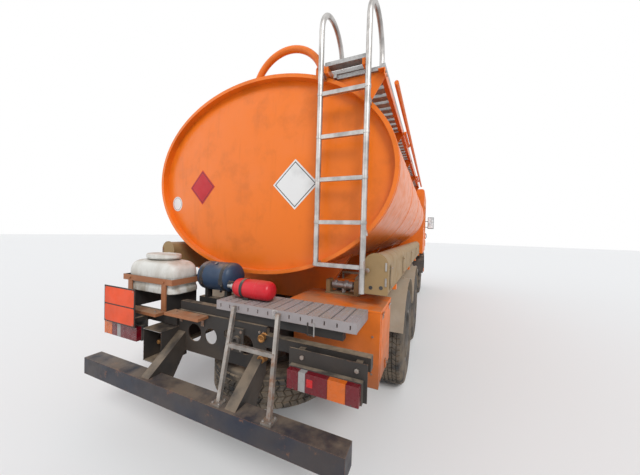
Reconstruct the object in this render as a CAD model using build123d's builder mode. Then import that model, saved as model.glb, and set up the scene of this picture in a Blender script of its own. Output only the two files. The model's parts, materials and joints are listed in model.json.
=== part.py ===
"""Three-axle forward-control fuel tanker, in millimetres.

The truck faces -Y, +X is its left side and +Z is up. The origin lies on the ground under the middle
of the overall length and width.
"""
import os
from math import cos, radians, sin

from build123d import *

os.makedirs("parts", exist_ok=True)

# Overall places
REAR_FACE = 4150.0  # Y of the underrun bar's rear face
FRONT_FACE = -4150.0  # Y of the bumper's front face
SEAT_GAP = 0.3  # running gap left beside curved faces
DOOR_GAP = 6.0  # gap round doors and moving panels


def ahead(distance):
    """Y of a place this far ahead of the underrun bar's rear face."""
    return REAR_FACE - distance


# Wheels
TYRE_R = 525.0
TYRE_W = 270.0
RIM_R = 262.0
RIM_W = 210.0
TWIN_PITCH = 315.0  # from the middle of one twin tyre to the other
DRIVE_TRACK_HALF = 947.5  # to the middle between the two twin tyres
STEER_TRACK_HALF = 1035.0
KINGPIN_X = 850.0
AXLE_Z = TYRE_R
FRONT_AXLE_Y = -2830.0
MIDDLE_AXLE_Y = 860.0
REAR_AXLE_Y = 2180.0
BOGIE_Y = (MIDDLE_AXLE_Y + REAR_AXLE_Y) / 2

# Frame
RAIL_OUT = 430.0
RAIL_FLANGE = 80.0
RAIL_WALL = 8.0
RAIL_TOP = 1010.0
RAIL_H = 260.0
RAIL_BOTTOM = RAIL_TOP - RAIL_H
RAIL_FRONT_Y = -4020.0
RAIL_REAR_Y = ahead(360)

# Tank
TANK_HALF_W = 1229.0
TANK_HALF_H = 863.0
TANK_BOTTOM = 1290.0
TANK_Z = TANK_BOTTOM + TANK_HALF_H
TANK_TOP = TANK_Z + TANK_HALF_H
TANK_REAR_Y = ahead(713)
TANK_FRONT_Y = -1600.0
RIM_BAND = 30.0  # width of the shell's rolled rim seen round each head
HEAD_SETBACK = 60.0  # from the rim's edge to the head's own edge
HEAD_CROWN = 55.0  # how far the head's middle stands out from its edge

# Cab
CAB_HALF_W = 1220.0
CAB_REAR_Y = -2100.0
CAB_WALL = 45.0
CAB_FLOOR_Z = 1190.0
CAB_HINGE_Y = -3980.0
CAB_HINGE_Z = 920.0


def save(part, name):
    """Labels a finished piece and writes it to its file."""
    part.label = name
    export_step(part, f"parts/{name}.step")


def shell_z(x):
    """Height of the tank's upper surface at this X."""
    return TANK_Z + TANK_HALF_H * (1 - (x / TANK_HALF_W) ** 2) ** 0.5


# Chassis frame: two channel rails riveted to their cross-members
CROSS_MEMBERS = [  # Y of the middle, bottom Z, height
    (-3930.0, 780.0, 160.0),
    (-1950.0, 800.0, 150.0),
    (-600.0, 800.0, 150.0),
    (BOGIE_Y, 790.0, 190.0),
    (2900.0, 800.0, 150.0),
]
CROSS_DEPTH = 60.0
REAR_MEMBER_BOTTOM = 690.0
REAR_MEMBER_DEPTH = 40.0
REAR_HOLES = [  # X, Z, radius
    (-250.0, 850.0, 70.0),
    (-80.0, 900.0, 30.0),
    (-80.0, 790.0, 30.0),
    (80.0, 850.0, 60.0),
    (250.0, 850.0, 70.0),
]
CAB_POST_Y = -2190.0
TILT_PIN_R = 20.0
RAIL_IN = RAIL_OUT - RAIL_WALL
with BuildPart() as frame_rails:
    for side in (-1, 1):
        with BuildSketch(Plane.XZ.offset(-RAIL_FRONT_Y)):
            with Locations((side * (RAIL_OUT - RAIL_FLANGE / 2), (RAIL_TOP + RAIL_BOTTOM) / 2)):
                Rectangle(RAIL_FLANGE, RAIL_H)
            with Locations(
                (side * (RAIL_OUT - RAIL_WALL - RAIL_FLANGE / 2), (RAIL_TOP + RAIL_BOTTOM) / 2)
            ):
                Rectangle(RAIL_FLANGE, RAIL_H - 2 * RAIL_WALL, mode=Mode.SUBTRACT)
        extrude(amount=-(RAIL_REAR_Y - RAIL_FRONT_Y))
    for middle, bottom, height in CROSS_MEMBERS:
        with Locations((0, middle, bottom + height / 2)):
            Box(2 * RAIL_IN, CROSS_DEPTH, height)
            Box(2 * RAIL_IN, CROSS_DEPTH - 2 * RAIL_WALL, height - 2 * RAIL_WALL, mode=Mode.SUBTRACT)
    rear_height = RAIL_TOP - REAR_MEMBER_BOTTOM
    with Locations((0, RAIL_REAR_Y + REAR_MEMBER_DEPTH / 2, REAR_MEMBER_BOTTOM + rear_height / 2)):
        Box(2 * RAIL_OUT, REAR_MEMBER_DEPTH, rear_height)
    with Locations(
        (0, RAIL_REAR_Y + REAR_MEMBER_DEPTH / 2 - RAIL_WALL, REAR_MEMBER_BOTTOM + rear_height / 2)
    ):
        Box(2 * RAIL_OUT, REAR_MEMBER_DEPTH, rear_height - 2 * RAIL_WALL, mode=Mode.SUBTRACT)
    for x, z, radius in REAR_HOLES:
        with BuildSketch(Plane.XZ.offset(-RAIL_REAR_Y)):
            with Locations((x, z)):
                Circle(radius)
        extrude(amount=-2 * REAR_MEMBER_DEPTH, mode=Mode.SUBTRACT)
    for side in (-1, 1):
        with Locations((side * (RAIL_OUT - 40), CAB_POST_Y, (RAIL_TOP + CAB_FLOOR_Z - SEAT_GAP) / 2)):
            Box(80, 80, CAB_FLOOR_Z - SEAT_GAP - RAIL_TOP)
        with BuildSketch(Plane.YZ.offset(side * RAIL_OUT)):
            with Locations((CAB_HINGE_Y, CAB_HINGE_Z)):
                Circle(TILT_PIN_R)
        extrude(amount=side * 60)
save(frame_rails.part, "frame_rails")

# Underrun bar: a channel across the rear with its open side forward
BAR_HALF_W = 1113.0
BAR_TOP = 600.0
BAR_H = 130.0
BAR_DEPTH = 120.0
BAR_WALL = 8.0
with BuildPart() as underrun_bar:
    with Locations((0, REAR_FACE - BAR_DEPTH / 2, BAR_TOP - BAR_H / 2)):
        Box(2 * BAR_HALF_W, BAR_DEPTH, BAR_H)
    with Locations((0, REAR_FACE - BAR_DEPTH / 2 - BAR_WALL, BAR_TOP - BAR_H / 2)):
        Box(2 * (BAR_HALF_W - BAR_WALL), BAR_DEPTH, BAR_H - 2 * BAR_WALL, mode=Mode.SUBTRACT)
save(underrun_bar.part, "underrun_bar")

# Arms that carry the bar below the rails
ARM_W = 80.0
ARM_X = RAIL_OUT - ARM_W / 2

# Rear platform of grip planks behind a slotted fascia
PLATFORM_TOP = 1146.0
PLATFORM_LEFT = 13.0
PLATFORM_RIGHT = -1071.0
PLATFORM_REAR_Y = ahead(306)
PLATFORM_FRONT_Y = ahead(610)
PLANK_H = 68.0
PLANK_COUNT = 13
PLANK_GAP = 10.0
FASCIA_T = 6.0
SLOT_W = 9.0
SLOT_H = 26.0
SLOT_DEPTH = 24.0
PLANK_BOTTOM = PLATFORM_TOP - PLANK_H
with BuildPart() as rear_platform:
    plank_pitch = (PLATFORM_LEFT - PLATFORM_RIGHT) / PLANK_COUNT
    platform_depth = PLATFORM_REAR_Y - PLATFORM_FRONT_Y
    for index in range(PLANK_COUNT):
        with Locations(
            (
                PLATFORM_RIGHT + (index + 0.5) * plank_pitch,
                (PLATFORM_REAR_Y + PLATFORM_FRONT_Y) / 2,
                PLATFORM_TOP - PLANK_H / 2,
            )
        ):
            Box(plank_pitch - PLANK_GAP, platform_depth, PLANK_H)
    with Locations(
        (
            (PLATFORM_LEFT + PLATFORM_RIGHT) / 2,
            PLATFORM_REAR_Y - FASCIA_T / 2,
            PLATFORM_TOP - PLANK_H / 2,
        )
    ):
        Box(PLATFORM_LEFT - PLATFORM_RIGHT, FASCIA_T, PLANK_H)
    for index in range(PLANK_COUNT):
        with Locations(
            (
                PLATFORM_RIGHT + (index + 0.5) * plank_pitch,
                PLATFORM_REAR_Y - SLOT_DEPTH / 2,
                PLATFORM_TOP - PLANK_H / 2,
            )
        ):
            Box(SLOT_W, SLOT_DEPTH, SLOT_H, mode=Mode.SUBTRACT)
save(rear_platform.part, "rear_platform")

# Lower ladder from the bar up to the platform, bent over to the left
LADDER_LOW_X = (-280.0, -650.0)
LADDER_LEAN = 112.0  # how far the rails' tops stand to the left of their feet
LADDER_TUBE = 26.0
LADDER_RUNG_Z = 900.0
LADDER_FOOT_Y = ahead(45)
LADDER_HEAD_Y = PLATFORM_REAR_Y + LADDER_TUBE / 2 + SEAT_GAP
LADDER_HEAD_Z = PLATFORM_TOP - 20
with BuildPart() as lower_ladder:
    for rail_x in LADDER_LOW_X:
        with BuildSketch(Plane.XY.offset(BAR_TOP)):
            with Locations((rail_x, LADDER_FOOT_Y)):
                Rectangle(LADDER_TUBE, LADDER_TUBE)
        with BuildSketch(Plane.XY.offset(LADDER_HEAD_Z)):
            with Locations((rail_x + LADDER_LEAN, LADDER_HEAD_Y)):
                Rectangle(LADDER_TUBE, LADDER_TUBE)
        loft()
    rung_share = (LADDER_RUNG_Z - BAR_TOP) / (LADDER_HEAD_Z - BAR_TOP)
    rung_x = sum(LADDER_LOW_X) / 2 + rung_share * LADDER_LEAN
    rung_y = LADDER_FOOT_Y + rung_share * (LADDER_HEAD_Y - LADDER_FOOT_Y)
    with Locations((rung_x, rung_y, LADDER_RUNG_Z)):
        Box(LADDER_LOW_X[0] - LADDER_LOW_X[1], LADDER_TUBE, LADDER_TUBE)
    for rail_x in LADDER_LOW_X:
        with Locations((rail_x, LADDER_FOOT_Y, BAR_TOP + 6)):
            Box(70, 70, 12)
save(lower_ladder.part, "lower_ladder")

# Rear carriers: the platform's two bearers, a beam out from each rail with a plate behind the lamps,
# the sign holder, and the cradle and band of the wash-water container
BEARER = 56.0
BEARER_IN = 60.0  # from the platform's edge to a bearer's middle
BEARER_RIGHT = -977.0
CARRIER_IN = RAIL_OUT
CARRIER_OUT = 1160.0
CARRIER_TOP = 960.0
CARRIER_H = 80.0
CARRIER_Y = ahead(330)
LAMP_IN = 690.0
LAMP_OUT = 1140.0
LAMP_TOP = 870.0
LAMP_H = 125.0
LAMP_DEPTH = 70.0
LAMP_REAR_Y = ahead(150)
LAMP_PLATE_T = 6.0
SIGN_IN = 648.0
SIGN_OUT = 1048.0
SIGN_BOTTOM = 886.0
SIGN_TOP = 1186.0
SIGN_Y = ahead(105)
SIGN_T = 4.0
WASH_X = (480.0, 1100.0)
WASH_REAR_Y = ahead(290)
WASH_DEPTH = 300.0
WASH_BOTTOM = 1110.0
WASH_TOP = 1450.0
CRADLE_T = 8.0
BAND_Z = (1202.0, 1248.0)
BAND_T = 7.0
VALVE_X = (RAIL_OUT, 640.0)
VALVE_REAR_Y = ahead(170)
VALVE_DEPTH = 230.0
VALVE_BOTTOM = 610.0
VALVE_TOP = 870.0
VALVE_T = 5.0
plate_y = LAMP_REAR_Y - LAMP_DEPTH - LAMP_PLATE_T / 2
member_rear_y = RAIL_REAR_Y + REAR_MEMBER_DEPTH
with BuildPart() as rear_carriers:
    for side in (-1, 1):
        with Locations(
            (side * (CARRIER_IN + CARRIER_OUT) / 2, CARRIER_Y, CARRIER_TOP - CARRIER_H / 2)
        ):
            Box(CARRIER_OUT - CARRIER_IN, 60, CARRIER_H)
        with Locations(
            (
                side * (LAMP_IN - 20 + CARRIER_OUT) / 2,
                plate_y,
                (CARRIER_TOP + LAMP_TOP - LAMP_H) / 2,
            )
        ):
            Box(CARRIER_OUT - LAMP_IN + 20, LAMP_PLATE_T, CARRIER_TOP - LAMP_TOP + LAMP_H)
        for arm_x in (LAMP_IN + 40, LAMP_OUT - 40):
            with Locations(
                (side * arm_x, (plate_y + CARRIER_Y) / 2, CARRIER_TOP - CARRIER_H / 2)
            ):
                Box(40, plate_y - CARRIER_Y, 40)
    for arm_x in (SIGN_IN + 60, SIGN_OUT - 60):
        with Locations((arm_x, (plate_y + SIGN_Y - SIGN_T) / 2, CARRIER_TOP - 30)):
            Box(30, SIGN_Y - SIGN_T - plate_y, 30)
    with Locations(((SIGN_IN + SIGN_OUT) / 2, SIGN_Y - SIGN_T / 2, (SIGN_TOP + SIGN_BOTTOM) / 2)):
        Box(SIGN_OUT - SIGN_IN, SIGN_T, SIGN_TOP - SIGN_BOTTOM)
    for strap_x in (WASH_X[0] + 90, WASH_X[1] - 90):
        with Locations(
            (
                strap_x,
                WASH_REAR_Y - WASH_DEPTH / 2,
                (CARRIER_TOP + WASH_BOTTOM) / 2,
            )
        ):
            Box(50, WASH_DEPTH, WASH_BOTTOM - CARRIER_TOP)
        with Locations((strap_x, WASH_REAR_Y + CRADLE_T / 2, (CARRIER_TOP + BAND_Z[1]) / 2)):
            Box(50, CRADLE_T, BAND_Z[1] - CARRIER_TOP)
    with Locations((sum(WASH_X) / 2, WASH_REAR_Y - WASH_DEPTH / 2, sum(BAND_Z) / 2)):
        Box(
            WASH_X[1] - WASH_X[0] + 2 * BAND_T,
            WASH_DEPTH + 2 * BAND_T,
            BAND_Z[1] - BAND_Z[0],
        )
        Box(WASH_X[1] - WASH_X[0], WASH_DEPTH, BAND_Z[1] - BAND_Z[0], mode=Mode.SUBTRACT)
    for bearer_y in (PLATFORM_REAR_Y - BEARER_IN, PLATFORM_FRONT_Y + BEARER_IN):
        with Locations(
            ((RAIL_OUT + BEARER_RIGHT) / 2, bearer_y, (RAIL_TOP + PLANK_BOTTOM) / 2)
        ):
            Box(RAIL_OUT - BEARER_RIGHT, BEARER, PLANK_BOTTOM - RAIL_TOP)
    for side in (-1, 1):
        with BuildSketch(Plane.YZ.offset(side * ARM_X)):
            with BuildLine():
                Polyline(
                    (member_rear_y, REAR_MEMBER_BOTTOM),
                    (member_rear_y, REAR_MEMBER_BOTTOM + 150),
                    (ahead(20), BAR_TOP),
                    (ahead(BAR_DEPTH), BAR_TOP),
                    (ahead(BAR_DEPTH), BAR_TOP - BAR_H + 20),
                    (ahead(200), BAR_TOP - BAR_H + 20),
                    close=True,
                )
            make_face()
        extrude(amount=ARM_W / 2, both=True)
    valve_mid = (
        sum(VALVE_X) / 2,
        VALVE_REAR_Y - VALVE_DEPTH / 2,
        (VALVE_TOP + VALVE_BOTTOM) / 2,
    )
    with Locations(valve_mid):
        Box(VALVE_X[1] - VALVE_X[0], VALVE_DEPTH, VALVE_TOP - VALVE_BOTTOM)
    with Locations(Vector(*valve_mid) + Vector(0, VALVE_T, 0)):
        Box(
            VALVE_X[1] - VALVE_X[0] - 2 * VALVE_T,
            VALVE_DEPTH,
            VALVE_TOP - VALVE_BOTTOM - 2 * VALVE_T,
            mode=Mode.SUBTRACT,
        )
save(rear_carriers.part, "rear_carriers")

# Wash-water container with its flat lid and filler boss
WASH_R = 45.0
with BuildPart() as wash_tank:
    with Locations((sum(WASH_X) / 2, WASH_REAR_Y - WASH_DEPTH / 2, (WASH_BOTTOM + WASH_TOP - 40) / 2)):
        Box(WASH_X[1] - WASH_X[0], WASH_DEPTH, WASH_TOP - 40 - WASH_BOTTOM)
    fillet(wash_tank.edges().filter_by(Axis.Y), radius=WASH_R)
    with Locations((sum(WASH_X) / 2, WASH_REAR_Y - WASH_DEPTH / 2, WASH_TOP - 30)):
        Cylinder(110, 60)
save(wash_tank.part, "wash_tank")

# Air tanks: one across the rear above the frame
AIR_R = 125.0
AIR_X = (40.0, 440.0)
AIR_Y = ahead(580)
AIR_Z = 1265.0
AIR_FEET_X = (130.0, 350.0)
with BuildPart() as rear_air_tank:
    with BuildSketch(Plane.YZ.offset(AIR_X[0])):
        with Locations((AIR_Y, AIR_Z)):
            Circle(AIR_R)
    extrude(amount=AIR_X[1] - AIR_X[0])
    fillet(rear_air_tank.edges(), radius=50)
    for foot_x in AIR_FEET_X:
        with Locations((foot_x, PLATFORM_FRONT_Y + 60, (PLANK_BOTTOM + AIR_Z) / 2)):
            Box(30, BEARER, AIR_Z - PLANK_BOTTOM)
save(rear_air_tank.part, "rear_air_tank")

# Fire extinguisher lying across the frame, held by a low saddle
EXT_R = 75.0
EXT_X = (-400.0, 30.0)
EXT_Y = ahead(440)
EXT_Z = PLATFORM_TOP + EXT_R + 6
with BuildPart() as extinguisher:
    with BuildSketch(Plane.YZ.offset(EXT_X[0])):
        with Locations((EXT_Y, EXT_Z)):
            Circle(EXT_R)
    extrude(amount=EXT_X[1] - EXT_X[0] - 60)
    fillet(extinguisher.edges(), radius=35)
    with BuildSketch(Plane.YZ.offset(EXT_X[1] - 60)):
        with Locations((EXT_Y, EXT_Z)):
            Circle(22)
    extrude(amount=60)
    with Locations((-180, EXT_Y, PLATFORM_TOP + 15)):
        Box(50, 90, 30)
save(extinguisher.part, "extinguisher")

# Rear locker on the right, its underside cut up towards the wheel
LOCKER_X = (-480.0, -1150.0)
LOCKER_REAR_Y = PLATFORM_FRONT_Y - 10
LOCKER_FRONT_Y = ahead(1080)
LOCKER_TOP = 1140.0
LOCKER_BOTTOM = 600.0
LOCKER_CUT_Z = 880.0
LOCKER_NOTCH_X = -715.0  # the lower inner corner is cut away over the spare wheel
SPARE_Z = 515.0
with BuildPart() as rear_locker:
    with BuildSketch(Plane.YZ.offset(LOCKER_X[1])):
        with BuildLine():
            Polyline(
                (LOCKER_REAR_Y, LOCKER_TOP),
                (LOCKER_FRONT_Y, LOCKER_TOP),
                (LOCKER_FRONT_Y, LOCKER_CUT_Z),
                (LOCKER_REAR_Y, LOCKER_BOTTOM),
                close=True,
            )
        make_face()
    extrude(amount=LOCKER_X[0] - LOCKER_X[1])
    fillet(rear_locker.edges().filter_by(Axis.X).group_by(Axis.Z)[-1], radius=12)
    notch_h = SPARE_Z + TYRE_W / 2 + DOOR_GAP - LOCKER_BOTTOM
    with Locations(((LOCKER_X[0] + LOCKER_NOTCH_X) / 2, LOCKER_REAR_Y - 150, LOCKER_BOTTOM + notch_h / 2)):
        Box(LOCKER_X[0] - LOCKER_NOTCH_X, 300, notch_h, mode=Mode.SUBTRACT)
    for lug_y in (LOCKER_REAR_Y - 100, LOCKER_FRONT_Y + 100):
        with Locations(((LOCKER_X[0] - RAIL_OUT) / 2, lug_y, 950)):
            Box(-LOCKER_X[0] - RAIL_OUT, 40, 80)
save(rear_locker.part, "rear_locker")

# Spare wheel carried flat under the rear of the frame
SPARE_X = -200.0
SPARE_Y = ahead(300) - TYRE_R
SPARE_PLATE_T = 12.0
with BuildPart() as spare_wheel:
    with BuildSketch(Plane.XZ.offset(-SPARE_Y)):
        with Locations((SPARE_X + (RIM_R + TYRE_R) / 2, SPARE_Z)):
            Rectangle(TYRE_R - RIM_R, TYRE_W)
    revolve(axis=Axis((SPARE_X, SPARE_Y, 0), (0, 0, 1)))
    fillet(spare_wheel.edges().filter_by(GeomType.CIRCLE).group_by(SortBy.RADIUS)[-1], radius=30)
    with Locations((SPARE_X, SPARE_Y, SPARE_Z)):
        Cylinder(RIM_R, 16)
        Cylinder(70, 120)
    with Locations((SPARE_X, SPARE_Y, (SPARE_Z + 60 + 800) / 2)):
        Box(40, 40, 800 - SPARE_Z - 60)
    with Locations((0, SPARE_Y, 810)):
        Box(2 * RAIL_IN, 80, 20)
save(spare_wheel.part, "spare_wheel")


# Tank shell with a dished head set inside the rolled rim at each end
def dish(width, height, crown):
    """A shallow domed cap on an elliptical base in the XY plane, bulging along +Z."""
    ball_r = (height**2 + crown**2) / (2 * crown)
    with BuildPart(mode=Mode.PRIVATE) as cap:
        with BuildSketch(Plane.XZ):
            with BuildLine():
                Line((0, 0), (height, 0))
                ThreePointArc(
                    (height, 0),
                    (height / 2, (ball_r**2 - (height / 2) ** 2) ** 0.5 - ball_r + crown),
                    (0, crown),
                )
                Line((0, crown), (0, 0))
            make_face()
        revolve(axis=Axis.Z)
    return scale(cap.part, by=(width / height, 1, 1))


INNER_HALF_W = TANK_HALF_W - RIM_BAND
INNER_HALF_H = TANK_HALF_H - RIM_BAND
head_cap = dish(INNER_HALF_W - 1, INNER_HALF_H - 1, HEAD_CROWN)
rear_cap = Plane(
    origin=(0, TANK_REAR_Y - HEAD_SETBACK, TANK_Z), x_dir=(1, 0, 0), z_dir=(0, 1, 0)
) * head_cap
front_cap = Plane(
    origin=(0, TANK_FRONT_Y + HEAD_SETBACK, TANK_Z), x_dir=(1, 0, 0), z_dir=(0, -1, 0)
) * head_cap
with BuildPart() as tank_shell:
    with BuildSketch(Plane.XZ.offset(-TANK_FRONT_Y)):
        with Locations((0, TANK_Z)):
            Ellipse(TANK_HALF_W, TANK_HALF_H)
    extrude(amount=-(TANK_REAR_Y - TANK_FRONT_Y))
    for end_y, reach in ((TANK_REAR_Y, HEAD_SETBACK), (TANK_FRONT_Y, -HEAD_SETBACK)):
        with BuildSketch(Plane.XZ.offset(-end_y)):
            with Locations((0, TANK_Z)):
                Ellipse(INNER_HALF_W, INNER_HALF_H)
        extrude(amount=reach, mode=Mode.SUBTRACT)
    add(rear_cap)
    add(front_cap)
save(tank_shell.part, "tank_shell")


# Ladder up the tank's rear, its hoops carried over on to the walkway
LADDER_X = (-643.0, -1006.0)
LADDER_Y = ahead(640)
LADDER_R = 21.0
RUNG_FIRST = TANK_BOTTOM + 141.0
RUNG_PITCH = 320.0
RUNG_COUNT = 5
RUNG_D = 26.0
RUNG_H = 30.0
HOOP_R = 235.0
HOOP_SPRING_Z = TANK_TOP + 169.0
WALK_X = (-722.0, -1110.0)
WALK_CLEAR = 3.6  # from the shell up to the slats' inner ends
WALK_T = 30.0
WALK_TOP = shell_z(WALK_X[0]) + WALK_CLEAR + WALK_T
LADDER_RAILS = [  # X, low end Z, lower end Z of the hoop's front leg
    (LADDER_X[0], RUNG_FIRST, shell_z(LADDER_X[0] + LADDER_R) + SEAT_GAP),
    (LADDER_X[1], TANK_BOTTOM - 45.0, WALK_TOP),
]


def rim_z(x):
    """How far above and below the tank's middle the rolled rim's own middle lies at this X."""
    outer = TANK_HALF_H * (1 - (x / TANK_HALF_W) ** 2) ** 0.5
    inner = INNER_HALF_H * (1 - (x / INNER_HALF_W) ** 2) ** 0.5
    return (outer + inner) / 2


with BuildPart() as tank_ladder:
    for rail_x, low_z, leg_z in LADDER_RAILS:
        with BuildLine() as rail_line:
            Polyline((rail_x, LADDER_Y, low_z), (rail_x, LADDER_Y, HOOP_SPRING_Z))
            ThreePointArc(
                (rail_x, LADDER_Y, HOOP_SPRING_Z),
                (rail_x, LADDER_Y - HOOP_R, HOOP_SPRING_Z + HOOP_R),
                (rail_x, LADDER_Y - 2 * HOOP_R, HOOP_SPRING_Z),
            )
            Line(
                (rail_x, LADDER_Y - 2 * HOOP_R, HOOP_SPRING_Z),
                (rail_x, LADDER_Y - 2 * HOOP_R, leg_z),
            )
        with BuildSketch(Plane((rail_x, LADDER_Y, low_z), z_dir=(0, 0, 1))):
            Circle(LADDER_R)
        sweep(path=rail_line.wires()[0])
    for index in range(RUNG_COUNT):
        with Locations((sum(LADDER_X) / 2, LADDER_Y, RUNG_FIRST + index * RUNG_PITCH)):
            Box(LADDER_X[0] - LADDER_X[1], RUNG_D, RUNG_H)
    for rail_x in LADDER_X:
        for end in (-1, 1):
            with Locations((rail_x, (LADDER_Y + TANK_REAR_Y) / 2, TANK_Z + end * rim_z(rail_x))):
                Box(30, LADDER_Y - TANK_REAR_Y, 40)
save(tank_ladder.part, "tank_ladder")

# Walkway of grip slats along the tank's top right, with two raised treads behind the ladder's head
WALK_REAR_Y = ahead(700)
WALK_FRONT_Y = TANK_FRONT_Y + 150
WALK_SLATS = 39
WALK_SLAT_GAP = 50.0
LANDING_TOP = WALK_TOP + 75.0
LANDING_X = (LADDER_X[0] - LADDER_R - 1.0, LADDER_X[1] + LADDER_R + 5.0)
TREAD_D = 70.0
TREAD_Y = (LADDER_Y - LADDER_R - 1.0 - TREAD_D / 2, LADDER_Y - LADDER_R - 121.0 - TREAD_D / 2)
with BuildPart() as walkway:
    walk_length = WALK_REAR_Y - WALK_FRONT_Y
    walk_pitch = walk_length / WALK_SLATS
    for index in range(WALK_SLATS):
        with Locations(
            (
                sum(WALK_X) / 2,
                WALK_FRONT_Y + (index + 0.5) * walk_pitch,
                WALK_TOP - WALK_T / 2,
            )
        ):
            Box(WALK_X[0] - WALK_X[1], walk_pitch - WALK_SLAT_GAP, WALK_T)
    for tread_y in TREAD_Y:
        with Locations((sum(LANDING_X) / 2, tread_y, LANDING_TOP - WALK_T / 2)):
            Box(LANDING_X[0] - LANDING_X[1], TREAD_D, WALK_T)
    for edge_x in (WALK_X[0] - 12, WALK_X[1] + 12):
        with Locations((edge_x, (WALK_REAR_Y + WALK_FRONT_Y) / 2, WALK_TOP - WALK_T / 2)):
            Box(24, walk_length, WALK_T)
save(walkway.part, "walkway")


# Gussets and edge angle that carry the walkway, and the landing's two side bars
GUSSET_Y = [ahead(750 + step * 1200) for step in range(5)]
GUSSET_T = 8.0
GUSSET_FOOT_X = -998.0
GUSSET_FOOT_Z = shell_z(GUSSET_FOOT_X) - 17.0
LANDING_BAR_W = 26.0
LANDING_FRONT_Y = TREAD_Y[1] - TREAD_D / 2
ANGLE = 50.0
ANGLE_T = 6.0
WALK_UNDER = WALK_TOP - WALK_T
with BuildPart() as walkway_frame:
    for gusset_y in GUSSET_Y:
        with BuildSketch(Plane.XZ.offset(-gusset_y)):
            with BuildLine():
                Polyline(
                    (WALK_X[0], WALK_UNDER),
                    (WALK_X[1] + ANGLE_T, WALK_UNDER),
                    (WALK_X[1] + ANGLE_T, WALK_UNDER - ANGLE + ANGLE_T),
                    (GUSSET_FOOT_X, GUSSET_FOOT_Z),
                    (WALK_X[0], GUSSET_FOOT_Z),
                    close=True,
                )
            make_face()
            with Locations((0, TANK_Z)):
                Ellipse(TANK_HALF_W + SEAT_GAP, TANK_HALF_H + SEAT_GAP, mode=Mode.SUBTRACT)
        extrude(amount=GUSSET_T / 2, both=True)
    with BuildSketch(Plane.XZ.offset(-WALK_FRONT_Y)):
        with BuildLine():
            Polyline(
                (WALK_X[1], WALK_UNDER),
                (WALK_X[1] + ANGLE, WALK_UNDER),
                (WALK_X[1] + ANGLE, WALK_UNDER - ANGLE_T),
                (WALK_X[1] + ANGLE_T, WALK_UNDER - ANGLE_T),
                (WALK_X[1] + ANGLE_T, WALK_UNDER - ANGLE),
                (WALK_X[1], WALK_UNDER - ANGLE),
                close=True,
            )
        make_face()
    extrude(amount=-(WALK_REAR_Y - WALK_FRONT_Y))
    bar_rear_y = TREAD_Y[0] + TREAD_D / 2
    for bar_x, foot_z in (
        (LANDING_X[0] - LANDING_BAR_W / 2, shell_z(LANDING_X[0]) + SEAT_GAP),
        (LANDING_X[1] + LANDING_BAR_W / 2, WALK_TOP),
    ):
        head_z = LANDING_TOP - WALK_T
        with Locations((bar_x, (bar_rear_y + LANDING_FRONT_Y) / 2, (foot_z + head_z) / 2)):
            Box(LANDING_BAR_W, bar_rear_y - LANDING_FRONT_Y, head_z - foot_z)

# Folding handrail: two posts on cross pivots and a rail that stays level as they rise
POST_LENGTH = 450.0
POST_R = 14.0
RAIL_TUBE_R = 17.0
MOVING_GAP = 6.0
PIVOT_R = 8.0
PIVOT_Z = WALK_UNDER - ANGLE / 2
POST_PIVOT_Y = (GUSSET_Y[1], GUSSET_Y[3])
POST_X = WALK_X[1] - MOVING_GAP - POST_R
HANDRAIL_X = POST_X - POST_R - MOVING_GAP - RAIL_TUBE_R
HANDRAIL_Y = (ahead(880), TANK_FRONT_Y + 300)
for post_name, pivot_y in zip(("handrail_post_rear", "handrail_post_front"), POST_PIVOT_Y):
    with BuildPart() as post:
        with BuildSketch(Plane.XZ.offset(-pivot_y)):
            with Locations((POST_X, PIVOT_Z)):
                Circle(POST_R)
        extrude(amount=POST_LENGTH)
        for end_y in (pivot_y, pivot_y - POST_LENGTH):
            with BuildSketch(Plane.YZ.offset(POST_X - POST_R)):
                with Locations((end_y, PIVOT_Z)):
                    Circle(POST_R + 6)
            extrude(amount=2 * POST_R)
        with BuildSketch(Plane.YZ.offset(POST_X + POST_R)):
            with Locations((pivot_y, PIVOT_Z)):
                Circle(PIVOT_R)
        extrude(amount=MOVING_GAP - SEAT_GAP)
    save(post.part, post_name)
with BuildPart() as handrail:
    with BuildSketch(Plane.XZ.offset(-HANDRAIL_Y[0])):
        with Locations((HANDRAIL_X, PIVOT_Z)):
            Circle(RAIL_TUBE_R)
    extrude(amount=HANDRAIL_Y[0] - HANDRAIL_Y[1])
    for pivot_y in POST_PIVOT_Y:
        with BuildSketch(Plane.YZ.offset(HANDRAIL_X)):
            with Locations((pivot_y - POST_LENGTH, PIVOT_Z)):
                Circle(PIVOT_R)
        extrude(amount=RAIL_TUBE_R + MOVING_GAP - SEAT_GAP)
save(handrail.part, "handrail")

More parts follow.
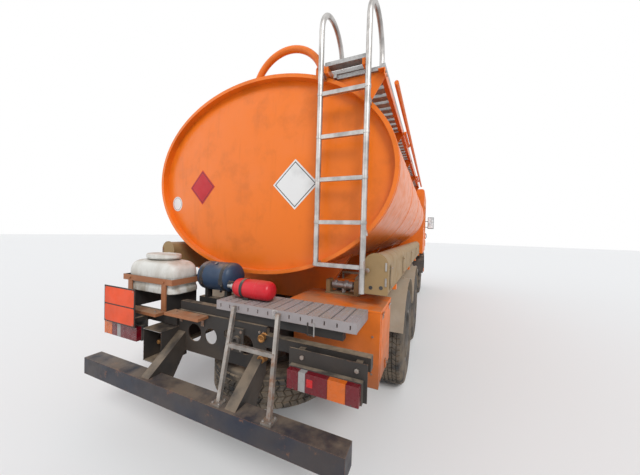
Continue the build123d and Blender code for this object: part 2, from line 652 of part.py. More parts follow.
# Coaming round the manholes, their necks, and the arched vapour pipe over the rear
COAMING_TOP = TANK_TOP + 64.0
COAMING_T = 12.0
COAMING_X = 560.0
COAMING_REAR_Y = ahead(1000)
COAMING_FRONT_Y = TANK_FRONT_Y + 300
MANHOLE_Y = [1900.0, -300.0]
MANHOLE_R = 250.0
MANHOLE_X = 120.0
ARCH_Y = ahead(850)
ARCH_R = 30.0
ARCH_LEFT = 110.0
ARCH_RIGHT = -560.0
ARCH_Z = TANK_TOP + 14.0
ARCH_RISE = 255.0
LID_R = 262.0
LID_T = 24.0
LID_LIFT = 6.0
LID_HINGE_Z = COAMING_TOP + LID_LIFT + LID_T / 2
LID_HINGE_BACK = LID_R + 30.0
LID_BARREL_R = 14.0
LID_BARREL = 120.0
LID_PIN_R = 7.0
LID_PIN_FIT = 0.05
EAR_PLATE = 8.0
with BuildPart() as tank_fittings:
    add(walkway_frame.part)
    coaming_length = COAMING_REAR_Y - COAMING_FRONT_Y
    coaming_mid = (COAMING_REAR_Y + COAMING_FRONT_Y) / 2
    with Locations((0, coaming_mid, (COAMING_TOP + TANK_Z) / 2)):
        Box(2 * COAMING_X, coaming_length, COAMING_TOP - TANK_Z)
        Box(
            2 * (COAMING_X - COAMING_T),
            coaming_length - 2 * COAMING_T,
            COAMING_TOP - TANK_Z,
            mode=Mode.SUBTRACT,
        )
    for manhole_y in MANHOLE_Y:
        with BuildSketch(Plane.XY.offset(TANK_Z)):
            with Locations((MANHOLE_X, manhole_y)):
                Circle(MANHOLE_R)
        extrude(amount=COAMING_TOP - TANK_Z)
        hinge_y = manhole_y + LID_HINGE_BACK
        ear_at = LID_BARREL / 2 + SEAT_GAP + EAR_PLATE / 2
        for ear_x in (MANHOLE_X - ear_at, MANHOLE_X + ear_at):
            with BuildSketch(Plane.YZ.offset(ear_x)):
                with Locations((hinge_y, LID_HINGE_Z)):
                    Circle(LID_BARREL_R)
                with BuildLine():
                    Polyline(
                        (manhole_y + MANHOLE_R - 30, COAMING_TOP - 60),
                        (hinge_y + LID_BARREL_R, COAMING_TOP - 60),
                        (hinge_y + LID_BARREL_R, LID_HINGE_Z),
                        (hinge_y - LID_BARREL_R, LID_HINGE_Z),
                        (hinge_y - LID_BARREL_R - 8, COAMING_TOP - 2),
                        (manhole_y + MANHOLE_R - 30, COAMING_TOP - 2),
                        close=True,
                    )
                make_face()
            extrude(amount=EAR_PLATE / 2, both=True)
        with BuildSketch(Plane.YZ.offset(MANHOLE_X)):
            with Locations((hinge_y, LID_HINGE_Z)):
                Circle(LID_PIN_R)
        extrude(amount=ear_at, both=True)
    with BuildLine() as arch_line:
        ThreePointArc(
            (ARCH_LEFT, ARCH_Y, ARCH_Z),
            ((ARCH_LEFT + ARCH_RIGHT) / 2, ARCH_Y, ARCH_Z + ARCH_RISE),
            (ARCH_RIGHT, ARCH_Y, ARCH_Z),
        )
    with BuildSketch(arch_line.line ^ 0):
        Circle(ARCH_R)
    sweep(path=arch_line.wires()[0])
    for foot_x in (ARCH_LEFT, ARCH_RIGHT):
        with Locations((foot_x, ARCH_Y, (TANK_Z + ARCH_Z) / 2)):
            Box(80, 80, ARCH_Z - TANK_Z)
    with BuildSketch(Plane.XZ.offset(-TANK_FRONT_Y)):
        with Locations((0, TANK_Z)):
            Ellipse(TANK_HALF_W + SEAT_GAP, TANK_HALF_H + SEAT_GAP)
    extrude(amount=-(TANK_REAR_Y - TANK_FRONT_Y), mode=Mode.SUBTRACT)
save(tank_fittings.part, "tank_fittings")

# Manhole lids, each hinged at its rear edge
for lid_name, manhole_y in zip(("manhole_lid_rear", "manhole_lid_front"), MANHOLE_Y):
    with BuildPart() as lid:
        with BuildSketch(Plane.XY.offset(COAMING_TOP + LID_LIFT)):
            with Locations((MANHOLE_X, manhole_y)):
                Circle(LID_R)
        extrude(amount=LID_T)
        with BuildSketch(Plane.XY.offset(COAMING_TOP + LID_LIFT + LID_T)):
            with Locations((MANHOLE_X, manhole_y)):
                Circle(150)
        extrude(amount=26, taper=30)
        with Locations((MANHOLE_X, manhole_y + LID_HINGE_BACK / 2 + 90, LID_HINGE_Z)):
            Box(60, LID_HINGE_BACK - 180, LID_T)
        with Locations((MANHOLE_X, manhole_y - LID_R - 30, LID_HINGE_Z + 6)):
            Box(36, 90, 12)
        with BuildSketch(Plane.YZ.offset(MANHOLE_X)):
            with Locations((manhole_y + LID_HINGE_BACK, LID_HINGE_Z)):
                Circle(LID_BARREL_R)
        extrude(amount=LID_BARREL / 2, both=True)
        with BuildSketch(Plane.YZ.offset(MANHOLE_X)):
            with Locations((manhole_y + LID_HINGE_BACK, LID_HINGE_Z)):
                Circle(LID_PIN_R + LID_PIN_FIT)
        extrude(amount=LID_BARREL, both=True, mode=Mode.SUBTRACT)
    save(lid.part, lid_name)

# Long cases for the delivery hoses under both flanks, a flat back plate on each
CASE_X = (1000.0, 1180.0)
CASE_BOTTOM = 1235.0
CASE_TOP = 1536.0
CASE_REAR_Y = ahead(700)
CASE_FRONT_Y = -1250.0
CASE_PLATE = 8.0
with BuildPart() as hose_cases:
    for side in (-1, 1):
        middle_x = side * sum(CASE_X) / 2
        case_r = (CASE_X[1] - CASE_X[0]) / 2
        for start_y, length, inset in (
            (CASE_REAR_Y, CASE_PLATE, 0.0),
            (CASE_REAR_Y - CASE_PLATE, CASE_REAR_Y - CASE_FRONT_Y - CASE_PLATE, 8.0),
        ):
            with BuildSketch(Plane.XZ.offset(-start_y)):
                with Locations((middle_x, (CASE_BOTTOM + CASE_TOP - case_r) / 2)):
                    Rectangle(2 * (case_r - inset), CASE_TOP - case_r - CASE_BOTTOM)
                with Locations((middle_x, CASE_TOP - case_r)):
                    Circle(case_r - inset)
            extrude(amount=length)
save(hose_cases.part, "hose_cases")

# Saddles that carry the tank on the rails, with arms out to the hose cases
SADDLE_Y = [-1200.0, 150.0, BOGIE_Y, 2960.0]
SADDLE_T = 60.0
SADDLE_TOP_X = 800.0
SADDLE_TOP_Z = TANK_BOTTOM + 230.0
SADDLE_FOOT_X = 470.0
CASE_ARM_H = 40.0
RUNNER_W = 80.0
RUNNER_H = 90.0
with BuildPart() as tank_saddles:
    for saddle_y in SADDLE_Y:
        with BuildSketch(Plane.XZ.offset(-saddle_y)):
            with BuildLine():
                Polyline(
                    (-SADDLE_FOOT_X, RAIL_TOP),
                    (SADDLE_FOOT_X, RAIL_TOP),
                    (SADDLE_TOP_X, SADDLE_TOP_Z),
                    (-SADDLE_TOP_X, SADDLE_TOP_Z),
                    close=True,
                )
            make_face()
            with Locations((0, CASE_BOTTOM - CASE_ARM_H / 2)):
                Rectangle(2 * CASE_X[1], CASE_ARM_H)
            with Locations((0, TANK_Z)):
                Ellipse(TANK_HALF_W + SEAT_GAP, TANK_HALF_H + SEAT_GAP, mode=Mode.SUBTRACT)
        extrude(amount=SADDLE_T / 2, both=True)
    for side in (-1, 1):
        for front_y, rear_y in zip(SADDLE_Y, SADDLE_Y[1:]):
            with Locations(
                (
                    side * (RAIL_OUT - RUNNER_W / 2),
                    (front_y + rear_y) / 2,
                    RAIL_TOP + RUNNER_H / 2,
                )
            ):
                Box(RUNNER_W, rear_y - front_y - SADDLE_T - 2 * SEAT_GAP, RUNNER_H)
save(tank_saddles.part, "tank_saddles")


def wheel_plane(y):
    """A sketch plane across the truck through an axle: its x is X and its y is Z."""
    return Plane.XZ.offset(-y)


def axle_line(y):
    """The axis of the wheels on an axle."""
    return Axis((0, y, AXLE_Z), (1, 0, 0))


def ring(side, near, far, low, high, mode=Mode.ADD):
    """Half section of a ring round an axle: from near to far out along X, from low to high radius."""
    with Locations((side * (near + far) / 2, AXLE_Z + (low + high) / 2)):
        Rectangle(abs(far - near), high - low, mode=mode)


# Wheels: tyre, rim with its bead flanges, disc, hub and brake drum
BEAD_R = RIM_R + SEAT_GAP
SIDEWALL_R = 385.0
SHOULDER = 30.0
FLANGE_R = 282.0
FLANGE_T = 12.0
RIM_T = 12.0
DISC_T = 14.0
DRUM_R = 205.0
SPINDLE_R = 45.0
SPINDLE_FIT = 0.06
STEER_SPINDLE_R = 38.0
HAND_HOLE_R = 28.0
HAND_HOLE_PCD_R = 208.0
HAND_HOLES = 8
HUB_CAP = 60.0  # closed length at the hub's outer end
SPINDLE_SHORT = 8.0  # gap between a spindle's end and the hub cap


def tyre(side, middle, y):
    """One tyre with rounded shoulders, its middle this far out."""
    half = TYRE_W / 2
    with BuildSketch(wheel_plane(y)) as section:
        with BuildLine():
            Polyline(
                (side * (middle - 0.72 * half), AXLE_Z + BEAD_R),
                (side * (middle - half), AXLE_Z + SIDEWALL_R),
                (side * (middle - 0.9 * half), AXLE_Z + TYRE_R - SHOULDER),
                (side * (middle - 0.76 * half), AXLE_Z + TYRE_R),
                (side * (middle + 0.76 * half), AXLE_Z + TYRE_R),
                (side * (middle + 0.9 * half), AXLE_Z + TYRE_R - SHOULDER),
                (side * (middle + half), AXLE_Z + SIDEWALL_R),
                (side * (middle + 0.72 * half), AXLE_Z + BEAD_R),
                close=True,
            )
        make_face()
    revolve(section.sketch, axis=axle_line(y))


def rim(side, middle):
    """The half section of one rim: barrel and bead flanges."""
    half = RIM_W / 2
    ring(side, middle - half, middle + half, RIM_R - RIM_T, RIM_R)
    ring(side, middle - half - FLANGE_T, middle - half, RIM_R - RIM_T, FLANGE_R)
    ring(side, middle + half, middle + half + FLANGE_T, RIM_R - RIM_T, FLANGE_R)


WHEELS = [  # name, side, axle Y, twin
    ("front_left", 1, FRONT_AXLE_Y, False),
    ("front_right", -1, FRONT_AXLE_Y, False),
    ("middle_left", 1, MIDDLE_AXLE_Y, True),
    ("middle_right", -1, MIDDLE_AXLE_Y, True),
    ("rear_left", 1, REAR_AXLE_Y, True),
    ("rear_right", -1, REAR_AXLE_Y, True),
]
DRIVE_HUB_IN = 612.0
DRIVE_HUB_OUT = 165.0
STEER_HUB_IN = 940.0
STEER_HUB_OUT = 135.0
for wheel_name, side, axle_y, twin in WHEELS:
    if twin:
        track = DRIVE_TRACK_HALF
        middles = (track - TWIN_PITCH / 2, track + TWIN_PITCH / 2)
        disc_at = track
        drum = (DRIVE_HUB_IN, track - 125)
        hub_end = track + DRIVE_HUB_OUT
        bore_r = SPINDLE_R + SPINDLE_FIT
    else:
        track = STEER_TRACK_HALF
        middles = (track,)
        disc_at = track + 75
        drum = (STEER_HUB_IN, track + 20)
        hub_end = track + STEER_HUB_OUT
        bore_r = STEER_SPINDLE_R + SPINDLE_FIT
    with BuildPart() as tyres:
        for middle in middles:
            tyre(side, middle, axle_y)
    save(tyres.part, f"tyre_{wheel_name}")
    with BuildPart() as wheel:
        with BuildSketch(wheel_plane(axle_y)):
            for middle in middles:
                rim(side, middle)
            if twin:
                ring(side, middles[0] + RIM_W / 2, middles[1] - RIM_W / 2, RIM_R - RIM_T, RIM_R)
            ring(side, disc_at - DISC_T / 2, disc_at + DISC_T / 2, bore_r, RIM_R - RIM_T)
            ring(side, drum[0], drum[1], bore_r, DRUM_R)
            ring(side, drum[0], hub_end, bore_r, 105.0)
            ring(side, hub_end - HUB_CAP, hub_end, 0, 88.0)
        revolve(axis=axle_line(axle_y))
        with BuildSketch(Plane.YZ.offset(side * disc_at)):
            with Locations((axle_y, AXLE_Z)):
                with PolarLocations(HAND_HOLE_PCD_R, HAND_HOLES):
                    Circle(HAND_HOLE_R)
        extrude(amount=DISC_T, both=True, mode=Mode.SUBTRACT)
    save(wheel.part, f"wheel_{wheel_name}")

# Drive axles: banjo casings, tubes and spindles, joined by the propeller shafts, under two
# turned-over leaf packs that reach from one axle to the other
BANJO_R = 185.0
TUBE_R = 70.0
SHAFT_R = 45.0
SHAFT_Z = 560.0
SPRING_SEAT_Z = AXLE_Z + TUBE_R + 10
SPRING_X = 390.0
SPRING_W = 76.0
GEARBOX_END_Y = -1750.0
with BuildPart() as drive_axles:
    spindle_end = DRIVE_TRACK_HALF + DRIVE_HUB_OUT - HUB_CAP - SPINDLE_SHORT
    for axle_y in (MIDDLE_AXLE_Y, REAR_AXLE_Y):
        with BuildSketch(wheel_plane(axle_y)):
            for side in (-1, 1):
                ring(side, 0, DRIVE_HUB_IN - 6, 0, TUBE_R)
                ring(side, DRIVE_HUB_IN - 6, spindle_end, 0, SPINDLE_R)
        revolve(axis=axle_line(axle_y))
        with Locations((0, axle_y, AXLE_Z)):
            Sphere(BANJO_R)
        for side in (-1, 1):
            with Locations((side * SPRING_X, axle_y, (AXLE_Z + SPRING_SEAT_Z) / 2)):
                Box(SPRING_W + 20, 120, SPRING_SEAT_Z - AXLE_Z)
    with BuildSketch(Plane.XZ.offset(-(GEARBOX_END_Y + SEAT_GAP))):
        with Locations((0, SHAFT_Z)):
            Circle(SHAFT_R)
    extrude(amount=-(REAR_AXLE_Y - GEARBOX_END_Y - SEAT_GAP))
    for side in (-1, 1):
        with BuildSketch(Plane.YZ.offset(side * SPRING_X)):
            with BuildLine():
                Polyline(
                    (MIDDLE_AXLE_Y - 80, SPRING_SEAT_Z),
                    (MIDDLE_AXLE_Y - 80, SPRING_SEAT_Z + 25),
                    (BOGIE_Y - 160, RAIL_BOTTOM),
                    (BOGIE_Y + 160, RAIL_BOTTOM),
                    (REAR_AXLE_Y + 80, SPRING_SEAT_Z + 25),
                    (REAR_AXLE_Y + 80, SPRING_SEAT_Z),
                    (REAR_AXLE_Y - 60, SPRING_SEAT_Z),
                    (BOGIE_Y + 90, SPRING_SEAT_Z + 35),
                    (BOGIE_Y + 70, 470),
                    (BOGIE_Y - 70, 470),
                    (BOGIE_Y - 90, SPRING_SEAT_Z + 35),
                    (MIDDLE_AXLE_Y + 60, SPRING_SEAT_Z),
                    close=True,
                )
            make_face()
        extrude(amount=SPRING_W / 2, both=True)
save(drive_axles.part, "drive_axles")

# Engine with its gearbox, one plain block on four arms between the rails
ENGINE_X = 320.0
ENGINE_Y = (-3700.0, -2340.0)
ENGINE_Z = (620.0, 1340.0)
GEARBOX_X = 180.0
GEARBOX_Z = (480.0, 780.0)
with BuildPart() as engine:
    with Locations((0, sum(ENGINE_Y) / 2, sum(ENGINE_Z) / 2)):
        Box(2 * ENGINE_X, ENGINE_Y[1] - ENGINE_Y[0], ENGINE_Z[1] - ENGINE_Z[0])
    with Locations((0, (ENGINE_Y[1] + GEARBOX_END_Y) / 2, sum(GEARBOX_Z) / 2)):
        Box(2 * GEARBOX_X, GEARBOX_END_Y - ENGINE_Y[1], GEARBOX_Z[1] - GEARBOX_Z[0])
    for arm_y in (ENGINE_Y[0] + 200, ENGINE_Y[1] - 160):
        with Locations((0, arm_y, 850)):
            Box(2 * RAIL_IN, 80, 60)
save(engine.part, "engine")

# Front axle: a drop-centre beam with an eye for each kingpin, on two arched leaf springs
FRONT_SPRING_HALF = 750.0
FRONT_SEAT_Z = 480.0
PACK_H = 75.0
EYE_R = 52.0
EYE_Z = (470.0, 580.0)
PIN_R = 22.0
PIN_FIT = 0.05
BEAM_HALF_D = 42.0
with BuildPart() as front_axle:
    with BuildSketch(wheel_plane(FRONT_AXLE_Y)):
        with BuildLine():
            Polyline(
                (-KINGPIN_X, 570),
                (-640, FRONT_SEAT_Z),
                (640, FRONT_SEAT_Z),
                (KINGPIN_X, 570),
                (KINGPIN_X, 480),
                (780, 480),
                (640, 370),
                (-640, 370),
                (-780, 480),
                (-KINGPIN_X, 480),
                close=True,
            )
        make_face()
    extrude(amount=BEAM_HALF_D, both=True)
    with BuildSketch(Plane.XY.offset(EYE_Z[0])):
        with Locations((-KINGPIN_X, FRONT_AXLE_Y), (KINGPIN_X, FRONT_AXLE_Y)):
            Circle(EYE_R)
    extrude(amount=EYE_Z[1] - EYE_Z[0])
    with BuildSketch(Plane.XY.offset(EYE_Z[0])):
        with Locations((-KINGPIN_X, FRONT_AXLE_Y), (KINGPIN_X, FRONT_AXLE_Y)):
            Circle(PIN_R + PIN_FIT)
    extrude(amount=EYE_Z[1] - EYE_Z[0], mode=Mode.SUBTRACT)
    for side in (-1, 1):
        with BuildSketch(Plane.YZ.offset(side * SPRING_X)):
            with BuildLine():
                ThreePointArc(
                    (FRONT_AXLE_Y - FRONT_SPRING_HALF, RAIL_BOTTOM - 25),
                    (FRONT_AXLE_Y, FRONT_SEAT_Z + 15),
                    (FRONT_AXLE_Y + FRONT_SPRING_HALF, RAIL_BOTTOM - 25),
                )
                Line(
                    (FRONT_AXLE_Y + FRONT_SPRING_HALF, RAIL_BOTTOM - 25),
                    (FRONT_AXLE_Y + FRONT_SPRING_HALF, RAIL_BOTTOM),
                )
                Line(
                    (FRONT_AXLE_Y + FRONT_SPRING_HALF, RAIL_BOTTOM),
                    (FRONT_AXLE_Y + FRONT_SPRING_HALF - 80, RAIL_BOTTOM),
                )
                ThreePointArc(
                    (FRONT_AXLE_Y + FRONT_SPRING_HALF - 80, RAIL_BOTTOM),
                    (FRONT_AXLE_Y, FRONT_SEAT_Z + 15 + PACK_H),
                    (FRONT_AXLE_Y - FRONT_SPRING_HALF + 80, RAIL_BOTTOM),
                )
                Line(
                    (FRONT_AXLE_Y - FRONT_SPRING_HALF + 80, RAIL_BOTTOM),
                    (FRONT_AXLE_Y - FRONT_SPRING_HALF, RAIL_BOTTOM),
                )
                Line(
                    (FRONT_AXLE_Y - FRONT_SPRING_HALF, RAIL_BOTTOM),
                    (FRONT_AXLE_Y - FRONT_SPRING_HALF, RAIL_BOTTOM - 25),
                )
            make_face()
        extrude(amount=SPRING_W / 2, both=True)
        with Locations((side * SPRING_X, FRONT_AXLE_Y, FRONT_SEAT_Z + 15)):
            Box(SPRING_W + 20, 130, 30)
save(front_axle.part, "front_axle")

# Steering knuckles: ears above and below the axle's eye, yoke, spindle and steering arm
EAR_R = 48.0
EAR_T = 50.0
EAR_GAP = 6.0
YOKE_IN = KINGPIN_X + EYE_R + 8
YOKE_OUT = YOKE_IN + 22
ARM_LENGTH = 200.0
STEER_ARM_Z = (EYE_Z[0] - EAR_GAP - EAR_T, EYE_Z[0] - EAR_GAP - EAR_T + 22)
STUD_R = 10.0
ROD_GAP = 6.0
ROD_EYE_R = 26.0
ROD_EYE_T = 36.0
ROD_R = 17.0
ROD_LOW_Z = STEER_ARM_Z[1] + ROD_GAP
EAR_LOWS = (EYE_Z[0] - EAR_GAP - EAR_T, EYE_Z[1] + EAR_GAP)
for knuckle_name, side in (("knuckle_left", 1), ("knuckle_right", -1)):
    pin_x = side * KINGPIN_X
    with BuildPart() as knuckle:
        for ear_z in EAR_LOWS:
            with BuildSketch(Plane.XY.offset(ear_z)):
                with Locations((pin_x, FRONT_AXLE_Y)):
                    Circle(EAR_R)
                with Locations((side * (KINGPIN_X + YOKE_OUT) / 2, FRONT_AXLE_Y)):
                    Rectangle(YOKE_OUT - KINGPIN_X, 2 * EAR_R)
            extrude(amount=EAR_T)
        with BuildSketch(Plane.XY.offset(EAR_LOWS[0])):
            with Locations((pin_x, FRONT_AXLE_Y)):
                Circle(PIN_R)
        extrude(amount=EAR_LOWS[1] + EAR_T - EAR_LOWS[0])
        yoke_h = EAR_LOWS[1] + EAR_T - EAR_LOWS[0]
        with Locations((side * (YOKE_IN + YOKE_OUT) / 2, FRONT_AXLE_Y, EAR_LOWS[0] + yoke_h / 2)):
            Box(YOKE_OUT - YOKE_IN, 2 * EAR_R, yoke_h)
        with BuildSketch(Plane.YZ.offset(side * YOKE_OUT)):
            with Locations((FRONT_AXLE_Y, AXLE_Z)):
                Circle(STEER_SPINDLE_R)
        extrude(amount=side * (STEER_TRACK_HALF + STEER_HUB_OUT - HUB_CAP - SPINDLE_SHORT - YOKE_OUT))
        with BuildSketch(Plane.XY.offset(STEER_ARM_Z[0])):
            with Locations((pin_x, FRONT_AXLE_Y + ARM_LENGTH / 2)):
                Rectangle(40, ARM_LENGTH)
            with Locations((pin_x, FRONT_AXLE_Y + ARM_LENGTH)):
                Circle(26)
        extrude(amount=STEER_ARM_Z[1] - STEER_ARM_Z[0])
        with BuildSketch(Plane.XY.offset(STEER_ARM_Z[1])):
            with Locations((pin_x, FRONT_AXLE_Y + ARM_LENGTH)):
                Circle(STUD_R)
        extrude(amount=ROD_GAP - SEAT_GAP)
    save(knuckle.part, knuckle_name)

# Tie rod between the two steering arms
with BuildPart() as tie_rod:
    rod_y = FRONT_AXLE_Y + ARM_LENGTH
    with BuildSketch(Plane.XY.offset(ROD_LOW_Z)):
        with Locations((-KINGPIN_X, rod_y), (KINGPIN_X, rod_y)):
            Circle(ROD_EYE_R)
    extrude(amount=ROD_EYE_T)
    with BuildSketch(Plane.YZ.offset(-KINGPIN_X)):
        with Locations((rod_y, ROD_LOW_Z + ROD_EYE_T / 2)):
            Circle(ROD_R)
    extrude(amount=2 * KINGPIN_X)
save(tie_rod.part, "tie_rod")

# Half-round mudguards over the drive wheels on bars from the rails
GUARD_R = 640.0
GUARD_T = 6.0
GUARD_X = (640.0, 1236.0)
GUARD_END = 20.0  # degrees above the axle's height where the half-round ends
BAR_H_SMALL = 24.0


def arch_shell(side, axle_y, radius, near, far, end_angle):
    """A half-round sheet over a wheel."""
    with BuildSketch(Plane.YZ.offset(side * near)) as section:
        with BuildLine():
            CenterArc((axle_y, AXLE_Z), radius + GUARD_T, end_angle, 180 - 2 * end_angle)
            CenterArc((axle_y, AXLE_Z), radius, end_angle, 180 - 2 * end_angle)
            for angle in (end_angle, 180 - end_angle):
                Line(
                    (
                        axle_y + radius * cos(radians(angle)),
                        AXLE_Z + radius * sin(radians(angle)),
                    ),
                    (
                        axle_y + (radius + GUARD_T) * cos(radians(angle)),
                        AXLE_Z + (radius + GUARD_T) * sin(radians(angle)),
                    ),
                )
        make_face()
    extrude(section.sketch, amount=side * (far - near))


def guard_stay(side, y, low_z, far):
    """A plate bolted to the rail with a bar out along the mudguard's top."""
    with Locations((side * (RAIL_OUT + 4), y, (RAIL_BOTTOM + 100 + low_z + BAR_H_SMALL) / 2)):
        Box(8, 60, low_z + BAR_H_SMALL - RAIL_BOTTOM - 100)
    with Locations((side * (RAIL_OUT + far) / 2, y, low_z + BAR_H_SMALL / 2)):
        Box(far - RAIL_OUT, 40, BAR_H_SMALL)


with BuildPart() as mudguards:
    for side in (-1, 1):
        for axle_y in (MIDDLE_AXLE_Y, REAR_AXLE_Y):
            arch_shell(side, axle_y, GUARD_R, GUARD_X[0], GUARD_X[1], GUARD_END)
            guard_stay(side, axle_y, AXLE_Z + GUARD_R + GUARD_T - 2, GUARD_X[1] - 60)
save(mudguards.part, "mudguards")

# Steps and wheel arches ahead of and over the front wheels
ARCH_GUARD_R = 626.0
ARCH_X = (880.0, 1236.0)
STEP_X = (900.0, 1200.0)
STEP_Y = (FRONT_FACE + 206.0, FRONT_AXLE_Y - 670.0)
STEP_Z = (480.0, 1150.0)
STEP_CUTS = [(560.0, 760.0), (820.0, 1060.0)]
with BuildPart() as cab_steps:
    for side in (-1, 1):
        arch_shell(side, FRONT_AXLE_Y, ARCH_GUARD_R, ARCH_X[0], ARCH_X[1], 12)
        guard_stay(side, FRONT_AXLE_Y, AXLE_Z + ARCH_GUARD_R + GUARD_T - 2, ARCH_X[1] - 60)
        with Locations((side * sum(STEP_X) / 2, sum(STEP_Y) / 2, sum(STEP_Z) / 2)):
            Box(STEP_X[1] - STEP_X[0], STEP_Y[1] - STEP_Y[0], STEP_Z[1] - STEP_Z[0])
        for low, high in STEP_CUTS:
            with Locations((side * (STEP_X[1] - 80), sum(STEP_Y) / 2, (low + high) / 2)):
                Box(170, STEP_Y[1] - STEP_Y[0] - 60, high - low, mode=Mode.SUBTRACT)
        with Locations((side * (RAIL_OUT + STEP_X[0]) / 2, -3640, 880)):
            Box(STEP_X[0] - RAIL_OUT, 60, 80)
save(cab_steps.part, "cab_steps")

# Fuel tank on the left rail
FUEL_X = (470.0, 1120.0)
FUEL_Y = (-1950.0, -850.0)
FUEL_Z = (430.0, 990.0)
with BuildPart() as fuel_tank:
    with Locations((sum(FUEL_X) / 2, sum(FUEL_Y) / 2, sum(FUEL_Z) / 2)):
        Box(FUEL_X[1] - FUEL_X[0], FUEL_Y[1] - FUEL_Y[0], FUEL_Z[1] - FUEL_Z[0])
    fillet(fuel_tank.edges().filter_by(Axis.Y), radius=110)
    for strap_y in (FUEL_Y[0] + 220, FUEL_Y[1] - 220):
        with Locations(((RAIL_OUT + FUEL_X[0]) / 2, strap_y, 850)):
            Box(FUEL_X[0] - RAIL_OUT, 70, 160)
    with Locations((FUEL_X[1] - 160, FUEL_Y[1] - 160, FUEL_Z[1])):
        Cylinder(55, 60)
save(fuel_tank.part, "fuel_tank")

# Battery box on the right rail, a loose-looking lid on a stepped case
BATTERY_X = (-470.0, -980.0)
BATTERY_Y = (-1900.0, -1300.0)
BATTERY_Z = (560.0, 930.0)
with BuildPart() as battery_box:
    with Locations((sum(BATTERY_X) / 2, sum(BATTERY_Y) / 2, sum(BATTERY_Z) / 2)):
        Box(BATTERY_X[0] - BATTERY_X[1], BATTERY_Y[1] - BATTERY_Y[0], BATTERY_Z[1] - BATTERY_Z[0])
    with Locations((sum(BATTERY_X) / 2, sum(BATTERY_Y) / 2, BATTERY_Z[1] - 30)):
        Box(BATTERY_X[0] - BATTERY_X[1] + 24, BATTERY_Y[1] - BATTERY_Y[0] + 24, 60)
    with Locations(((-RAIL_OUT + BATTERY_X[0]) / 2, sum(BATTERY_Y) / 2, 820)):
        Box(-RAIL_OUT - BATTERY_X[0], 300, 80)
save(battery_box.part, "battery_box")

# Discharge pipes: two outlets on the right, each with its coupling spigot, up to the tank's belly
OUTLET_Y = (-700.0, -420.0)
OUTLET_R = 50.0
OUTLET_PIPE_R = 42.0
OUTLET_X = -1130.0
SPIGOT = 70.0
OUTLET_Z = 695.0
with BuildPart() as discharge_pipes:
    for outlet_y in OUTLET_Y:
        with BuildSketch(Plane.YZ.offset(OUTLET_X)):
            with Locations((outlet_y, OUTLET_Z)):
                Circle(OUTLET_R)
        extrude(amount=SPIGOT)
        with BuildSketch(Plane.YZ.offset(OUTLET_X + SPIGOT)):
            with Locations((outlet_y, OUTLET_Z)):
                Circle(OUTLET_R + 22)
        extrude(amount=40)
        with BuildSketch(Plane.YZ.offset(OUTLET_X + SPIGOT + 40)):
            with Locations((outlet_y, OUTLET_Z)):
                Circle(OUTLET_PIPE_R)
        extrude(amount=-OUTLET_X - SPIGOT - 40 - 150)
        with BuildSketch(Plane.XY.offset(OUTLET_Z)):
            with Locations((-150, outlet_y)):
                Circle(OUTLET_PIPE_R)
        extrude(amount=TANK_BOTTOM + 20 - OUTLET_Z)
        with Locations((-150, outlet_y, OUTLET_Z)):
            Sphere(OUTLET_PIPE_R)
    with BuildSketch(Plane.XZ.offset(-TANK_FRONT_Y)):
        with Locations((0, TANK_Z)):
            Ellipse(TANK_HALF_W + SEAT_GAP, TANK_HALF_H + SEAT_GAP)
    extrude(amount=-(TANK_REAR_Y - TANK_FRONT_Y), mode=Mode.SUBTRACT)
save(discharge_pipes.part, "discharge_pipes")

# Side guards: two bars each side between the front and drive wheels
SIDE_GUARD_X = 1150.0
SIDE_GUARD_Z = (560.0, 830.0)
SIDE_GUARDS = [  # side, front Y, rear Y
    (1, -780.0, 180.0),
    (-1, -1180.0, 180.0),
]
with BuildPart() as side_guards:
    for side, front_y, rear_y in SIDE_GUARDS:
        for bar_z in SIDE_GUARD_Z:
            with Locations((side * SIDE_GUARD_X, (front_y + rear_y) / 2, bar_z)):
                Box(30, rear_y - front_y, 100)
        for post_y in (front_y + 120, rear_y - 160):
            with Locations((side * (SIDE_GUARD_X - 30), post_y, 740)):
                Box(30, 50, 460)
            with Locations((side * (RAIL_OUT + SIDE_GUARD_X - 15) / 2, post_y, 900)):
                Box(SIDE_GUARD_X - 15 - RAIL_OUT, 50, 60)
save(side_guards.part, "side_guards")

